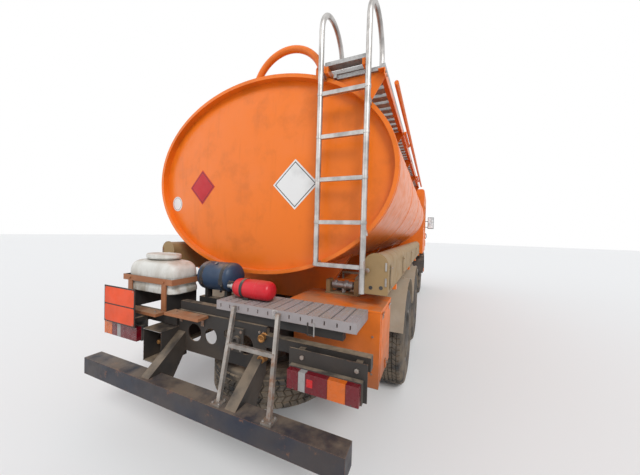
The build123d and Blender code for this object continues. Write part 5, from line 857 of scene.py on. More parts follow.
# %% Wash-water can
can_low, can_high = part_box("wash_tank")
can_mid = (can_low + can_high) / 2
CAN_TOP = can_high.z - 0.055
STOREYS = [  # height above the foot, share of the full width
    (0.012, 1.0), (0.050, 1.0), (0.056, 0.965), (0.082, 0.965), (0.088, 1.0), (0.112, 1.0),
    (0.118, 0.965), (0.140, 0.965), (0.150, 0.985), (0.215, 0.960), (0.250, 0.880),
]
SHOULDER = 0.66
CAN_LID = [  # height, radius
    (0, 0.0), (0, 0.108), (0.004, 0.116), (0.010, 0.112), (0.012, 0.118), (0.036, 0.116), (0.042, 0.110),
    (0.043, 0.080), (0.039, 0.076), (0.039, 0.0),
]
LID_STRETCH = 1.5
cell = bmesh.new()
block(cell, can_low, (can_high.x, can_high.y, CAN_TOP))
round_edges(cell, [e for e in cell.edges if abs(e.verts[0].co.z - e.verts[1].co.z) > 0.1], 0.085, 3)
for height, _ in STOREYS:
    bmesh.ops.bisect_plane(cell, geom=cell.verts[:] + cell.edges[:] + cell.faces[:],
                           plane_co=(0, 0, can_low.z + height), plane_no=Z)
for height, share in STOREYS + [(CAN_TOP - can_low.z, SHOULDER)]:
    ring = [v for v in cell.verts if abs(v.co.z - can_low.z - height) < 1e-4]
    bmesh.ops.scale(cell, verts=ring, vec=(share, share, 1),
                    space=Matrix.Translation((-can_mid.x, -can_mid.y, 0)))
can = piece(cell, "wash_can", "white_plastic", replaced=["wash_tank"], sharp=80)
round_off = can.modifiers.new("round", "SUBSURF")
round_off.levels = round_off.render_levels = 2
cell = bmesh.new()
turned(cell, CAN_LID, (can_mid.x, can_mid.y, CAN_TOP + 0.003), Z, 40)
bmesh.ops.scale(cell, verts=cell.verts, vec=(LID_STRETCH, 1, 1), space=Matrix.Translation((-can_mid.x, 0, 0)))
piece(cell, "wash_can_lid", "white_plastic")
print("can", round(can_high.z - can_low.z, 3), "high")

# %% [markdown]
# The air tank. Welded tanks are a rolled barrel with a dished cap pressed on to each end, so the
# outline is turned: cap, weld bead, barrel, weld bead, cap. Two straps with tightening bolts hold it
# on its feet, and a drain cock and a pipe union stand out of it.

# %% Air tank
air_low, air_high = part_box("rear_air_tank")
AIR_AXIS, AIR_R, AIR_FEET = Vector((air_low.x, 3.570, 1.265)), 0.1235, (0.130, 0.350)
air_length = air_high.x - air_low.x
half = [  # distance from the end, radius: the dished cap, then the weld bead
    (0.0, 0.0), (0.003, 0.040), (0.012, 0.078), (0.028, 0.104), (0.045, 0.118), (0.052, AIR_R - 0.001),
    (0.062, AIR_R - 0.001), (0.065, AIR_R + 0.0015), (0.070, AIR_R + 0.0015), (0.073, AIR_R),
]
strap = [(-0.016, AIR_R - 0.002), (-0.016, AIR_R + 0.002), (0.016, AIR_R + 0.002), (0.016, AIR_R - 0.002)]
cell = bmesh.new()
turned(cell, half + [(air_length - along, r) for along, r in reversed(half)], AIR_AXIS, X, 48)
for foot_x in AIR_FEET:
    turned(cell, strap, (foot_x, AIR_AXIS.y, AIR_AXIS.z), X, 48, 1, close=True)
    block(cell, (foot_x - 0.015, 3.572, 1.0775), (foot_x + 0.015, 3.628, 1.180), 1)
    block(cell, (foot_x - 0.022, 3.6685, 1.215), (foot_x + 0.022, 3.6945, 1.262), 1)
    bar(cell, (foot_x, 3.682, 1.205), (foot_x, 3.682, 1.285), 0.006, 8, 2)
    bolts(cell, [(foot_x, 3.682, 1.262)], Z, 0.011, 0.010, 2)
bar(cell, (0.24, 3.62, 1.372), (0.24, 3.628, 1.385), 0.016, 6, 2)
bar(cell, (0.24, 3.57, 1.135), (0.24, 3.57, 1.120), 0.011, 8, 2)
piece(cell, "air_tank", "blue_paint", ["blue_paint", "chassis_paint", "bare_steel"], rounding=0.0012,
      replaced=["rear_air_tank"])
print("air tank", round(air_length, 3), "long")

# %% [markdown]
# The extinguisher is another turned shape, lying down: a domed foot, the barrel with its seam, the
# shoulder and the neck. The valve head, lever and strap are small, but they tell what it is.

# %% Extinguisher
EXT_FOOT = Vector((-0.400, 3.710, 1.227))
EXT_BODY = [  # distance from the foot, radius
    (0.0, 0.0), (0.001, 0.030), (0.008, 0.054), (0.024, 0.068), (0.045, 0.0725), (0.118, 0.0730),
    (0.120, 0.0748), (0.127, 0.0748), (0.129, 0.0730), (0.300, 0.0725), (0.325, 0.066), (0.345, 0.050),
    (0.356, 0.030), (0.358, 0.021), (0.372, 0.021),
]
EXT_HEAD = [(0.370, 0.0), (0.370, 0.024), (0.388, 0.024), (0.390, 0.018), (0.426, 0.016), (0.429, 0.0)]
EXT_STRAP = [(0.236, 0.0735), (0.236, 0.0755), (0.262, 0.0755), (0.262, 0.0735)]
cell = bmesh.new()
turned(cell, EXT_BODY, EXT_FOOT, X, 48)
turned(cell, EXT_HEAD, EXT_FOOT, X, 20, 1)
block(cell, (-0.020, 3.700, 1.238), (0.028, 3.720, 1.254), 2)
block(cell, (-0.030, 3.702, 1.256), (0.022, 3.718, 1.266), 2)
turned(cell, EXT_STRAP, EXT_FOOT, X, 48, 2, close=True)
block(cell, (-0.205, 3.665, 1.1465), (-0.155, 3.755, 1.166), 2)
piece(cell, "extinguisher_dressed", "red_paint", ["red_paint", "galvanised", "black_plastic"],
      rounding=0.0015, replaced=["extinguisher"])
print("extinguisher", EXT_HEAD[-1][0], "long")

# %% [markdown]
# The platform's planks are grip sheet: punched rows of toothed holes. From a step away they read as
# rows of little rings, so each hole is a low ring of eight faces, laid out in rows by a loop. The
# fascia is closed by two bright bolts where its halves meet, and a stirrup hangs from its edge.

# %% Platform grip and fascia bolts
plank_low, plank_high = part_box("rear_platform")
PLANKS, HOLES, HOLE_FIRST, HOLE_PITCH, ROW_HALF = 13, 8, 0.024, 0.0362, 0.019
HOLE_TOOTH = [(-0.0004, 0.0085), (0.0018, 0.0073), (0.0018, 0.0053), (-0.0004, 0.0040)]
FASCIA_Y = plank_high.y
plank_pitch = (plank_high.x - plank_low.x) / PLANKS
cell = bmesh.new()
for plank in range(PLANKS):
    middle_x = plank_low.x + (plank + 0.5) * plank_pitch
    for row_x in (middle_x - ROW_HALF, middle_x + ROW_HALF):
        for hole in range(HOLES):
            at = (row_x, plank_low.y + HOLE_FIRST + hole * HOLE_PITCH, plank_high.z)
            turned(cell, HOLE_TOOTH, at, Z, 8)
piece(cell, "platform_grip", "grip_planks")
cell = bmesh.new()
bolts(cell, grid(-0.505, FASCIA_Y, (1.096, 1.128)), Y, 0.012, 0.010)
block(cell, (-0.526, FASCIA_Y, 1.080), (-0.484, FASCIA_Y + 0.0025, 1.144), 1)
for strap_x in (-0.800, -0.755):
    block(cell, (strap_x, FASCIA_Y, 1.016), (strap_x + 0.009, FASCIA_Y + 0.005, 1.100), 2)
block(cell, (-0.793, FASCIA_Y + 0.0005, 1.0165), (-0.753, FASCIA_Y + 0.0045, 1.025), 2)
piece(cell, "platform_bolts", "bare_steel", ["ladder_steel", "grip_planks", "chassis_paint"], rounding=0.0015)
print("grip rings", PLANKS * HOLES * 2, "plank pitch", round(plank_pitch, 4))

# %% [markdown]
# Brown primer shows on what was welded on later: the can's frame and two boards behind it. The frame
# is a thin skin round the solid band and its two legs, so that it hides their black paint; the boards
# get their rounded arrises from a bevel.

# %% Can frame and boards
finishes["primer_brown"] = painted("primer_brown", (0.33, 0.125, 0.050), 0.6, 0.5, 0.7, 0.6, 0.5, 0.5, 0.3)
BAND_LOW, BAND_HIGH, BAND_OUT, LEG_IN, LEG_HALF = 1.2005, 1.2495, 0.0085, 0.090, 0.0265
cell = bmesh.new()
block(cell, (can_low.x - BAND_OUT, can_low.y - BAND_OUT, BAND_LOW),
      (can_high.x + BAND_OUT, can_high.y + BAND_OUT, BAND_HIGH))
for face in [f for f in cell.faces if abs(f.normal.z) > 0.5]:
    bmesh.ops.inset_region(cell, faces=[face], thickness=BAND_OUT + 0.0005)
    bmesh.ops.delete(cell, geom=[face], context="FACES")
for leg_x in (can_low.x + LEG_IN, can_high.x - LEG_IN):
    block(cell, (leg_x - LEG_HALF, can_high.y - 0.001, 0.9605),
          (leg_x + LEG_HALF, can_high.y + 0.0095, BAND_LOW))
    bolts(cell, grid(leg_x, can_high.y + BAND_OUT, (1.225, 0.985)), Y, 0.011, 0.010)
piece(cell, "can_frame", "chassis_paint", ["primer_brown"])
cell = bmesh.new()
block(cell, (0.540, 3.8700, 0.9603), (0.978, 3.9560, 0.9860))
block(cell, (0.105, 3.8303, 0.9840), (0.470, 3.9330, 1.0080))
for bracket_x in (0.150, 0.385):
    block(cell, (bracket_x, 3.8303, 0.9780), (bracket_x + 0.030, 3.9200, 0.9838), 1)
    block(cell, (bracket_x, 3.8303, 0.9150), (bracket_x + 0.030, 3.8363, 0.9780), 1)
bolts(cell, grid((0.600, 0.920), 3.915, 0.986) + grid((0.165, 0.400), 3.875, 1.008), Z, 0.009, 0.007, 1)
piece(cell, "rear_boards", "chassis_paint", ["primer_brown", "bare_steel"], rounding=0.003)
print("can frame and two boards")

# %% [markdown]
# Air couplings and a cast hitch plate sit on the rear cross-member. They are turned parts and small
# castings: outlines spun round an axis, and blocks with their edges bevelled.

# %% Couplings
finishes["brass"] = bare_metal("brass", (0.50, 0.24, 0.08), 0.4, 0.35, 0.0, 0.2, 0.5)
MEMBER_Y, HITCH_OUT = 3.830, 0.014
COUPLING = [  # distance from the cross-member, radius
    (0.0, 0.0), (0.0, 0.030), (0.012, 0.030), (0.014, 0.023), (0.030, 0.023), (0.032, 0.027),
    (0.048, 0.027), (0.050, 0.020), (0.044, 0.012), (0.044, 0.0),
]
HITCH_BOSS = [(0.0, 0.034), (0.020, 0.034), (0.024, 0.028), (0.024, 0.018), (0.006, 0.018), (0.006, 0.0)]
cell = bmesh.new()
for at in grid(-0.418, MEMBER_Y, (0.943, 0.800)):
    turned(cell, COUPLING, at, Y, 20, 1)
block(cell, (-0.240, MEMBER_Y, 0.790), (-0.135, MEMBER_Y + HITCH_OUT, 0.965))
bolts(cell, grid((-0.225, -0.150), MEMBER_Y + HITCH_OUT, (0.812, 0.943)), Y, 0.012, 0.010, 2)
turned(cell, HITCH_BOSS, (-0.1875, MEMBER_Y + HITCH_OUT, 0.877), Y, 24)
bolts(cell, grid((-0.375, -0.408, 0.375, 0.408), MEMBER_Y, (0.725, 0.765, 0.965)), Y, 0.011, 0.009, 2)
piece(cell, "rear_couplings", "cast_iron", ["cast_iron", "brass", "bare_steel"], rounding=0.002)
print("couplings dressed")

# %% [markdown]
# In the open box stand the valves of the discharge line. Only their bodies and necks can be told
# apart in its shadow, so each is a turned outline on one cast block, with four bolts and a handle.

# %% Valve box fittings
VALVE_BACK, VALVE_FACE = 3.7555, 3.790
BIG_NECK = [(0.0, 0.0), (0.0, 0.034), (0.055, 0.034), (0.062, 0.026), (0.085, 0.026), (0.088, 0.0)]
SMALL_NECK = [(0.0, 0.0), (0.0, 0.026), (0.070, 0.026), (0.076, 0.018), (0.110, 0.018), (0.112, 0.0)]
STEM = [(0.0, 0.0), (0.0, 0.022), (0.030, 0.022), (0.032, 0.012), (0.052, 0.012), (0.052, 0.0)]
cell = bmesh.new()
block(cell, (0.455, VALVE_BACK, 0.690), (0.615, VALVE_FACE, 0.800))
turned(cell, BIG_NECK, (0.495, VALVE_FACE, 0.750), Y, 24)
turned(cell, SMALL_NECK, (0.580, VALVE_FACE, 0.735), Y, 24, 1)
turned(cell, STEM, (0.530, 3.845, 0.800), Z, 20)
block(cell, (0.512, 3.820, 0.615), (0.548, 3.870, 0.800))
bolts(cell, grid((0.470, 0.600), VALVE_FACE, (0.785, 0.700)), Y, 0.008, 0.008, 1)
for lip_z in (0.611, 0.864):
    block(cell, (0.430, 3.9800, lip_z), (0.640, 3.9850, lip_z + 0.005), 2)
piece(cell, "valve_fittings", "cast_iron", ["galvanised", "brass", "chassis_paint"], rounding=0.002)
print("valve box dressed")

# %% [markdown]
# The rear locker. A sheet-steel locker shows its seams: a folded lid edge, and on its outer side a
# flap with two hinges and a catch. All of it is thin plate laid on the solid box.

# %% Rear locker
locker_low, locker_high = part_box("rear_locker")
OUTER = locker_low.x
CATCH = [(0.0, 0.013), (0.010, 0.013), (0.013, 0.009), (0.013, 0.0)]
cell = bmesh.new()
block(cell, (OUTER - 0.0035, locker_low.y + 0.035, 0.640), (OUTER + 0.001, locker_high.y - 0.035, 1.105))
block(cell, (OUTER - 0.004, locker_low.y - 0.002, locker_high.z - 0.012),
      (locker_high.x, locker_high.y + 0.004, locker_high.z + 0.002))
for hinge_y in (3.16, 3.44):
    bar(cell, (OUTER - 0.009, hinge_y - 0.030, 1.108), (OUTER - 0.009, hinge_y + 0.030, 1.108), 0.006, 12, 1)
    block(cell, (OUTER - 0.006, hinge_y - 0.028, 1.070), (OUTER - 0.003, hinge_y + 0.028, 1.108), 1)
block(cell, (OUTER - 0.012, 3.282, 0.655), (OUTER - 0.003, 3.318, 0.720), 1)
turned(cell, CATCH, (OUTER - 0.010, 3.300, 0.700), -X, 20, 1)
bolts(cell, grid((-0.90, -1.10), locker_high.y, (0.70, 0.96)), Y, 0.009, 0.007, 1)
piece(cell, "locker_trim", "orange_paint", ["orange_paint", "bare_steel"], rounding=0.002)
print("locker dressed")

# %% [markdown]
# On the locker lies a rack that carries a hose coupling. The rack is a plate with two upright cheeks;
# the coupling between them is one turned outline, hollow at its mouth.

# %% Coupling rack on the locker
RACK_Z = locker_high.z + 0.002
RACK_TOP = RACK_Z + 0.010
HOSE_COUPLING = [  # distance along, radius
    (0.0, 0.0), (0.0, 0.030), (0.016, 0.030), (0.018, 0.040), (0.040, 0.040), (0.044, 0.032),
    (0.110, 0.032), (0.114, 0.042), (0.140, 0.042), (0.146, 0.034), (0.190, 0.034), (0.190, 0.024),
    (0.160, 0.020), (0.160, 0.0),
]
cell = bmesh.new()
block(cell, (-0.905, 3.085, RACK_Z), (-0.600, 3.200, RACK_TOP))
block(cell, (-0.640, 3.095, RACK_TOP), (-0.604, 3.190, 1.262))
block(cell, (-0.903, 3.087, RACK_TOP), (-0.862, 3.198, 1.270))
turned(cell, HOSE_COUPLING, (-0.652, 3.145, 1.218), -X, 32, 1)
block(cell, (-0.770, 3.125, RACK_TOP), (-0.745, 3.165, 1.190), 1)
bolts(cell, grid((-0.67, -0.72, -0.80, -0.85), 3.110, RACK_TOP), Z, 0.009, 0.007, 1)
piece(cell, "coupling_rack", "khaki_paint", ["khaki_paint", "galvanised"], rounding=0.003)
print("coupling rack dressed")

# %% [markdown]
# The hose cases are long tubes of sheet with an end door each. So the door gets a turned knob, two
# screws and two hinge leaves, and the tube gets bands where it is held.

# %% Hose-case ends and bands
CASE_BANDS, BAND_HALF = (-1.05, 0.10, 1.25, 2.40, 3.30), 0.020
BAND_X, BAND_Z = (1.1795, 1.1825), (1.255, 1.441)
KNOB = [(0.0, 0.0), (0.0, 0.011), (0.018, 0.011), (0.020, 0.016), (0.032, 0.016), (0.034, 0.0)]
DIMPLE = [(0.0, 0.014), (0.003, 0.014), (0.003, 0.008), (0.001, 0.0)]
case_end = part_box("hose_cases")[1].y
for hand, side in SIDES.items():
    cell = bmesh.new()
    turned(cell, KNOB, (side * 1.037, case_end, 1.410), Y, 20, 1)
    for screw_x, screw_z in ((1.058, 1.283), (1.132, 1.288)):
        turned(cell, DIMPLE, (side * screw_x, case_end, screw_z), Y, 16, 2)
    for leaf_z in (1.300, 1.410):
        block(cell, (side * 1.158, case_end, leaf_z), (side * 1.172, case_end + 0.006, leaf_z + 0.060), 1)
    for band_y in CASE_BANDS:
        block(cell, (side * BAND_X[0], band_y - BAND_HALF, BAND_Z[0]),
              (side * BAND_X[1], band_y + BAND_HALF, BAND_Z[1]))
        bolts(cell, grid(side * BAND_X[1], band_y, (1.275, 1.420)), X * side, 0.008, 0.007, 1)
    piece(cell, f"case_trim_{hand}", "khaki_paint", ["khaki_paint", "bare_steel", "black_plastic"],
          rounding=0.001)
print("hose cases dressed")

# %% [markdown]
# The lower ladder is a bent thing, and bolts hold its feet on the bar. Along its rung runs a painted
# highlight: a row of thin bright plates let into the rung's top, where light catches its edge.

# %% Ladder rung and bar bolts
RUNG_AT, HIGHLIGHT_FIRST, HIGHLIGHT_PITCH, HIGHLIGHT_LONG = Vector((-0.4011, 3.9636, 0.913)), -0.152, 0.066, 0.040
cell = bmesh.new()
# painted highlight: bright dashes on the rung's top that stand for light caught on its edge
for dash in range(5):
    at_x = RUNG_AT.x + HIGHLIGHT_FIRST + dash * HIGHLIGHT_PITCH
    block(cell, (at_x, RUNG_AT.y - 0.006, RUNG_AT.z - 0.001),
          (at_x + HIGHLIGHT_LONG, RUNG_AT.y + 0.011, RUNG_AT.z + 0.0012))
for foot_x in (-0.280, -0.650):
    bolts(cell, grid((foot_x - 0.024, foot_x + 0.024), (4.081, 4.129), 0.612), Z, 0.008, 0.008)
piece(cell, "rung_painted_highlight", "ladder_steel", rounding=0.0008)
cell = bmesh.new()
bolts(cell, grid((-0.760, -1.100, 0.760, 1.100), 3.930, 0.915), Y, 0.014, 0.010)
piece(cell, "rear_bolts", "bare_steel", rounding=0.001)
print("rung and bolts done")

# %% [markdown]
# The tank's seams. Rolled sheets meet in a weld bead that stands a little proud under the paint. A bead
# is a thin rod that follows the tank's oval: a closed run of points on the ellipse, swept round. The
# tank ladder's rungs get a weld ring at each end, and the walkway's slats a clip with a bolt.

# %% Weld seams and ladder fixings
TANK_MID_Z, TANK_HALF_X, TANK_HALF_Z = 2.153, 1.229, 0.863
SEAMS, SEAM_R, SEAM_STEPS = (-0.38, 0.90, 2.18, 3.405), 0.0045, 96
WELD = [(-0.012, 0.0215), (-0.010, 0.0235), (0.010, 0.0235), (0.012, 0.0215)]
RUNG_FIRST, RUNG_PITCH, RAILS_X, LADDER_Y = 1.431, 0.320, (-0.643, -1.006), 3.510
SLATS, SLAT_FIRST, SLAT_PITCH, CLIPS_X, SLAT_TOP = 20, -1.43, 0.25, (-0.745, -1.088), 2.8845
CLIP_TOP = SLAT_TOP + 0.004
cell = bmesh.new()
turns = [math.tau * n / SEAM_STEPS for n in range(SEAM_STEPS)]
for seam_y in SEAMS:
    oval = [(TANK_HALF_X * math.cos(t), seam_y, TANK_MID_Z + TANK_HALF_Z * math.sin(t)) for t in turns]
    rod(cell, oval, SEAM_R, smooth=False, closed=True)
piece(cell, "weld_seams", "tank_orange")
cell = bmesh.new()
for rung in range(5):
    for at in grid(RAILS_X, LADDER_Y, RUNG_FIRST + RUNG_PITCH * rung):
        turned(cell, WELD, at, Z, 20)
piece(cell, "ladder_welds", "ladder_steel")
cell = bmesh.new()
for gusset_y in (3.4, 2.2, 1.0, -0.2, -1.4):
    bolts(cell, grid(-1.110, (gusset_y - 0.026, gusset_y + 0.026), 2.835), -X, 0.009, 0.007)
for slat in range(SLATS):
    slat_y = SLAT_FIRST + slat * SLAT_PITCH
    for clip_x in CLIPS_X:
        block(cell, (clip_x - 0.012, slat_y - 0.010, SLAT_TOP), (clip_x + 0.012, slat_y + 0.010, CLIP_TOP))
        bolts(cell, [(clip_x, slat_y, CLIP_TOP)], Z, 0.006, 0.004)
piece(cell, "walkway_clips", "bare_steel")
print("seams", len(SEAMS), "clips", SLATS * len(CLIPS_X))

# %% [markdown]
# On the manhole lids sit what a driver handles: a bent grip, a breather valve, and a ring of bolts
# that holds the sealing rim. They ride on the lid's own body, so they open with it. The vapour pipe
# gets a flange at each foot.

# %% Lid handles and pipe flanges
LIDS, LID_X, LID_TOP, LID_RING = {"rear": 1.9, "front": -0.3}, 0.12, 3.110, 0.238
GRIP = ((-0.06, 0.022), (-0.06, 0.052), (0.0, 0.056), (0.06, 0.052), (0.06, 0.022))  # across, up
BREATHER = [
    (0.0, 0.0), (0.0, 0.024), (0.030, 0.024), (0.034, 0.032), (0.046, 0.032), (0.052, 0.020), (0.052, 0.0),
]
FLANGE = [(0.0, 0.0), (0.0, 0.052), (0.012, 0.052), (0.014, 0.034), (0.020, 0.0305)]
for end, lid_y in LIDS.items():
    cell = bmesh.new()
    bolts(cell, on_circle((LID_X, lid_y, LID_TOP), LID_RING, 12, "Z", math.tau / 24), Z, 0.010, 0.008)
    rod(cell, [(LID_X + across, lid_y, LID_TOP + up) for across, up in GRIP], 0.007)
    turned(cell, BREATHER, (LID_X, lid_y - 0.190, LID_TOP), Z, 24, 1)
    piece(cell, f"lid_fittings_{end}", "galvanised", ["galvanised", "brass"], f"manhole_lid_{end}",
          rounding=0.001)
cell = bmesh.new()
for foot_x in (0.110, -0.560):
    turned(cell, FLANGE, (foot_x, 3.300, 3.030), Z, 32)
    bolts(cell, on_circle((foot_x, 3.300, 3.042), 0.042, 6, "Z"), Z, 0.006, 0.006, 1)
piece(cell, "pipe_flanges", "tank_orange", ["tank_orange", "bare_steel"])
print("lids dressed", len(LIDS))

# %% [markdown]
# Down the sides: valves with their hand levers at the two outlets, straps and a filler cap on the fuel
# tank, and a cover with two catches on the battery box.

# %% Outlets and tank straps
OUTLETS, OUTLET_X, OUTLET_Z, LEVER_Z = (-0.70, -0.42), -1.020, 0.695, 0.786
VALVE_BODY = [  # distance along the pipe, radius
    (-0.070, 0.046), (-0.070, 0.066), (-0.056, 0.066), (-0.054, 0.054), (0.030, 0.054), (0.032, 0.066),
    (0.046, 0.066), (0.046, 0.046),
]
VALVE_STEM = [(0.040, 0.026), (0.056, 0.026), (0.060, 0.018), (0.082, 0.018), (0.082, 0.0)]
LEVER_KNOB = [(-0.018, 0.013), (0.0, 0.015), (0.018, 0.013), (0.022, 0.0)]
FILLER_CAP = [(0.0, 0.0), (0.0, 0.052), (0.016, 0.052), (0.018, 0.044), (0.034, 0.040), (0.036, 0.0)]
cell = bmesh.new()
for outlet_y in OUTLETS:
    at = (OUTLET_X, outlet_y, OUTLET_Z)
    turned(cell, VALVE_BODY, at, X, 32)
    turned(cell, VALVE_STEM, at, Z, 20)
    lever = [(OUTLET_X, outlet_y, 0.775), (-1.050, outlet_y, 0.783), (-1.110, outlet_y, LEVER_Z)]
    rod(cell, lever, 0.009, 1)
    turned(cell, LEVER_KNOB, (-1.108, outlet_y, LEVER_Z), -X, 16, 2)
    for ear in (-1, 1):
        block(cell, (-1.126, outlet_y + ear * 0.050, 0.680), (-1.094, outlet_y + ear * 0.070, 0.710), 1)
piece(cell, "outlet_valves", "galvanised", ["galvanised", "bare_steel", "black_plastic"], rounding=0.001)
fuel_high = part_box("fuel_tank")[1]
STRAP_OUT = fuel_high.x + 0.003
cell = bmesh.new()
for strap_y in (-1.72, -1.08):
    block(cell, (fuel_high.x - 0.001, strap_y - 0.022, 0.520), (STRAP_OUT, strap_y + 0.022, 0.900))
    bolts(cell, grid(STRAP_OUT, strap_y, (0.560, 0.860)), X, 0.010, 0.009)
turned(cell, FILLER_CAP, (0.900, -1.02, fuel_high.z - 0.003), Z, 32, 1)
low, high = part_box("battery_box")
block(cell, (low.x - 0.003, low.y + 0.030, 0.585), (low.x + 0.001, high.y - 0.030, 0.905), 2)
for catch_y in (low.y + 0.120, high.y - 0.120):
    block(cell, (low.x - 0.012, catch_y - 0.016, 0.860), (low.x - 0.002, catch_y + 0.016, 0.925))
piece(cell, "tank_straps", "bare_steel", ["galvanised", "black_plastic", "chassis_paint"], rounding=0.0015)
print("outlets", len(OUTLETS))

# %% [markdown]
# Under the drive axles. Four long U-bolts clamp each spring pack to its axle, with a nut below on each
# leg. The axle's round cover is a ring with ten short bolts, seen from behind through the twin wheels.

# %% Spring clamps and axle bolts
SPRING_X, LEG_OFF, CLAMP_OFF, CLAMP_Z = 0.390, 0.046, 0.075, (0.600, 0.745)
COVER_AT, COVER_R, COVER_HOLE, COVER_T = 0.094, 0.172, 0.148, 0.014
COVER = [(0.0, COVER_HOLE), (0.0, COVER_R), (COVER_T, COVER_R), (COVER_T, COVER_HOLE)]
cell = bmesh.new()
for axle_y in (AXLES["middle"], AXLES["rear"]):
    legs_x = tuple(side * SPRING_X + leg for side in (-1, 1) for leg in (-LEG_OFF, LEG_OFF))
    legs = grid(legs_x, (axle_y - CLAMP_OFF, axle_y + CLAMP_OFF), CLAMP_Z[0])
    for leg in legs:
        bar(cell, leg, (leg[0], leg[1], CLAMP_Z[1]), 0.008, 10)
    bolts(cell, legs, -Z, 0.014, 0.014)
    face_y = axle_y + COVER_AT
    turned(cell, COVER, (0, face_y, AXLE_Z), Y, 40, close=True)
    bolts(cell, on_circle((0, face_y + COVER_T, AXLE_Z), 0.160, 10, "Y"), Y, 0.010, 0.010)
piece(cell, "spring_clamps", "bare_steel", rounding=0.001)
print("spring clamps on", len(AXLES) - 1, "axles")

# %% [markdown]
# The cab's small parts are what make a box a cab. First the mirror glass, and the wipers: each is a
# turned pivot, a bent arm and a blade, set out in the windscreen's own directions, so that they lie on
# its slope.

# %% Mirrors and wipers
finishes["mirror_silver"] = bare_metal("mirror_silver", (0.86, 0.87, 0.88), 0.03, 0.0, 0.0, 0.15, 0.0)
SCREEN_LOW, SCREEN_HIGH = Vector((0, -4.056, 1.800)), Vector((0, -3.872, 2.590))
WIPERS = ((-0.180, 0.330), (0.420, 0.930), (-0.860, -0.330))  # pivot, tip of the blade
PIVOT = [(0.0, 0.020), (0.012, 0.018), (0.022, 0.010), (0.022, 0.0)]
slope = (SCREEN_HIGH - SCREEN_LOW).normalized()
outward = Vector((0, -slope.z, slope.y))


def on_screen(x, along, lift):
    """A place on the windscreen: so far across, so far up it, and so far out from it."""
    return SCREEN_LOW + X * x + slope * along + outward * lift


cell = bmesh.new()
for side in (-1, 1):
    block(cell, (side * 1.300, -3.8868, 1.905), (side * 1.460, -3.8830, 2.245), 1)
    block(cell, (side * 1.372, -3.9520, 1.950), (side * 1.388, -3.9490, 2.200))
piece(cell, "mirror_glass", "black_plastic", ["black_plastic", "mirror_silver"], "cab", rounding=0.003)
cell = bmesh.new()
for pivot_x, tip_x in WIPERS:
    middle_x = (pivot_x + tip_x) / 2
    turned(cell, PIVOT, on_screen(pivot_x, -0.050, 0.014), outward, 16)
    arm = ((pivot_x, -0.050, 0.030), (middle_x, 0.020, 0.040), (middle_x + 0.08, 0.050, 0.024))
    blade = ((pivot_x + 0.03, 0.030, 0.012), (middle_x, 0.052, 0.016), (tip_x, 0.060, 0.012))
    rod(cell, [on_screen(*at) for at in arm], 0.006)
    rod(cell, [on_screen(*at) for at in blade], 0.007)
piece(cell, "wipers", "black_plastic", body="cab")
print("screen slope", [round(v, 3) for v in slope])

# %% [markdown]
# The cab's front panel is one pressing with a service flap in it. The flap's gap is drawn as a thin
# dark rod that runs along the panel; each of its points is found by a ray shot at the panel, so the
# line follows the slope. A blank plate, two indicators and the flap's catches sit on the same panel.

# %% Cab front
front_tree = BVHTree.FromObject(frame["nodes"]["cab_front"], depsgraph)
FLAP_HALF, FLAP_Z, FLAP_GAP = 0.930, (1.120, 1.700), 0.0028
LIGHT_Z, BLANK_Z, RIM = (1.010, 1.070), (0.982, 1.094), 0.008


def front_y(x, z):
    """How far forward the cab's front panel stands at a place."""
    return front_tree.ray_cast(Vector((x, -4.5, z)), Y)[0].y


cell = bmesh.new()
for side in (-1, 1):
    face = front_y(side, LIGHT_Z[0])
    block(cell, (side * 0.930, face - 0.016, LIGHT_Z[0]), (side * 1.090, face + 0.002, LIGHT_Z[1]), 1)
    block(cell, (side * 0.922, face - 0.004, LIGHT_Z[0] - RIM),
          (side * 1.098, face + 0.002, LIGHT_Z[1] + RIM))
    block(cell, (side * 1.2215, -3.920, 1.480), (side * 1.2290, -3.872, 1.530), 1)
face = front_y(0.0, BLANK_Z[0])
block(cell, (-0.268, face - 0.003, BLANK_Z[0] - RIM), (0.268, face + 0.002, BLANK_Z[1] + RIM))
block(cell, (-0.260, face - 0.006, BLANK_Z[0]), (0.260, face - 0.002, BLANK_Z[1]), 2)
piece(cell, "front_lights", "lamp_plastic", ["black_plastic", "lens_amber", "sign_white"], "cab",
      rounding=0.0015)
cell = bmesh.new()
heights = [FLAP_Z[0] + (FLAP_Z[1] - FLAP_Z[0]) * n / 8 for n in range(9)]
for side in (-1, 1):
    edge_x = side * FLAP_HALF
    rod(cell, [(edge_x, front_y(edge_x, z), z) for z in heights], FLAP_GAP, smooth=False)
    catch = front_y(side * 0.62, 1.155)
    block(cell, (side * 0.560, catch - 0.010, 1.140), (side * 0.680, catch + 0.002, 1.168), 1)
for z in FLAP_Z:
    rod(cell, [(x, front_y(x, z), z) for x in (-FLAP_HALF, 0.0, FLAP_HALF)], FLAP_GAP, smooth=False)
piece(cell, "front_flap_gap", "black_plastic", body="cab", rounding=0.001)
print("cab front dressed")

# %% [markdown]
# Steps, grab handles and grille. A step's tread is a row of thin bars that a boot can grip; the handle
# beside the door is a bent rod; the grille's slots are cut in the solid and only get a dark lip each.

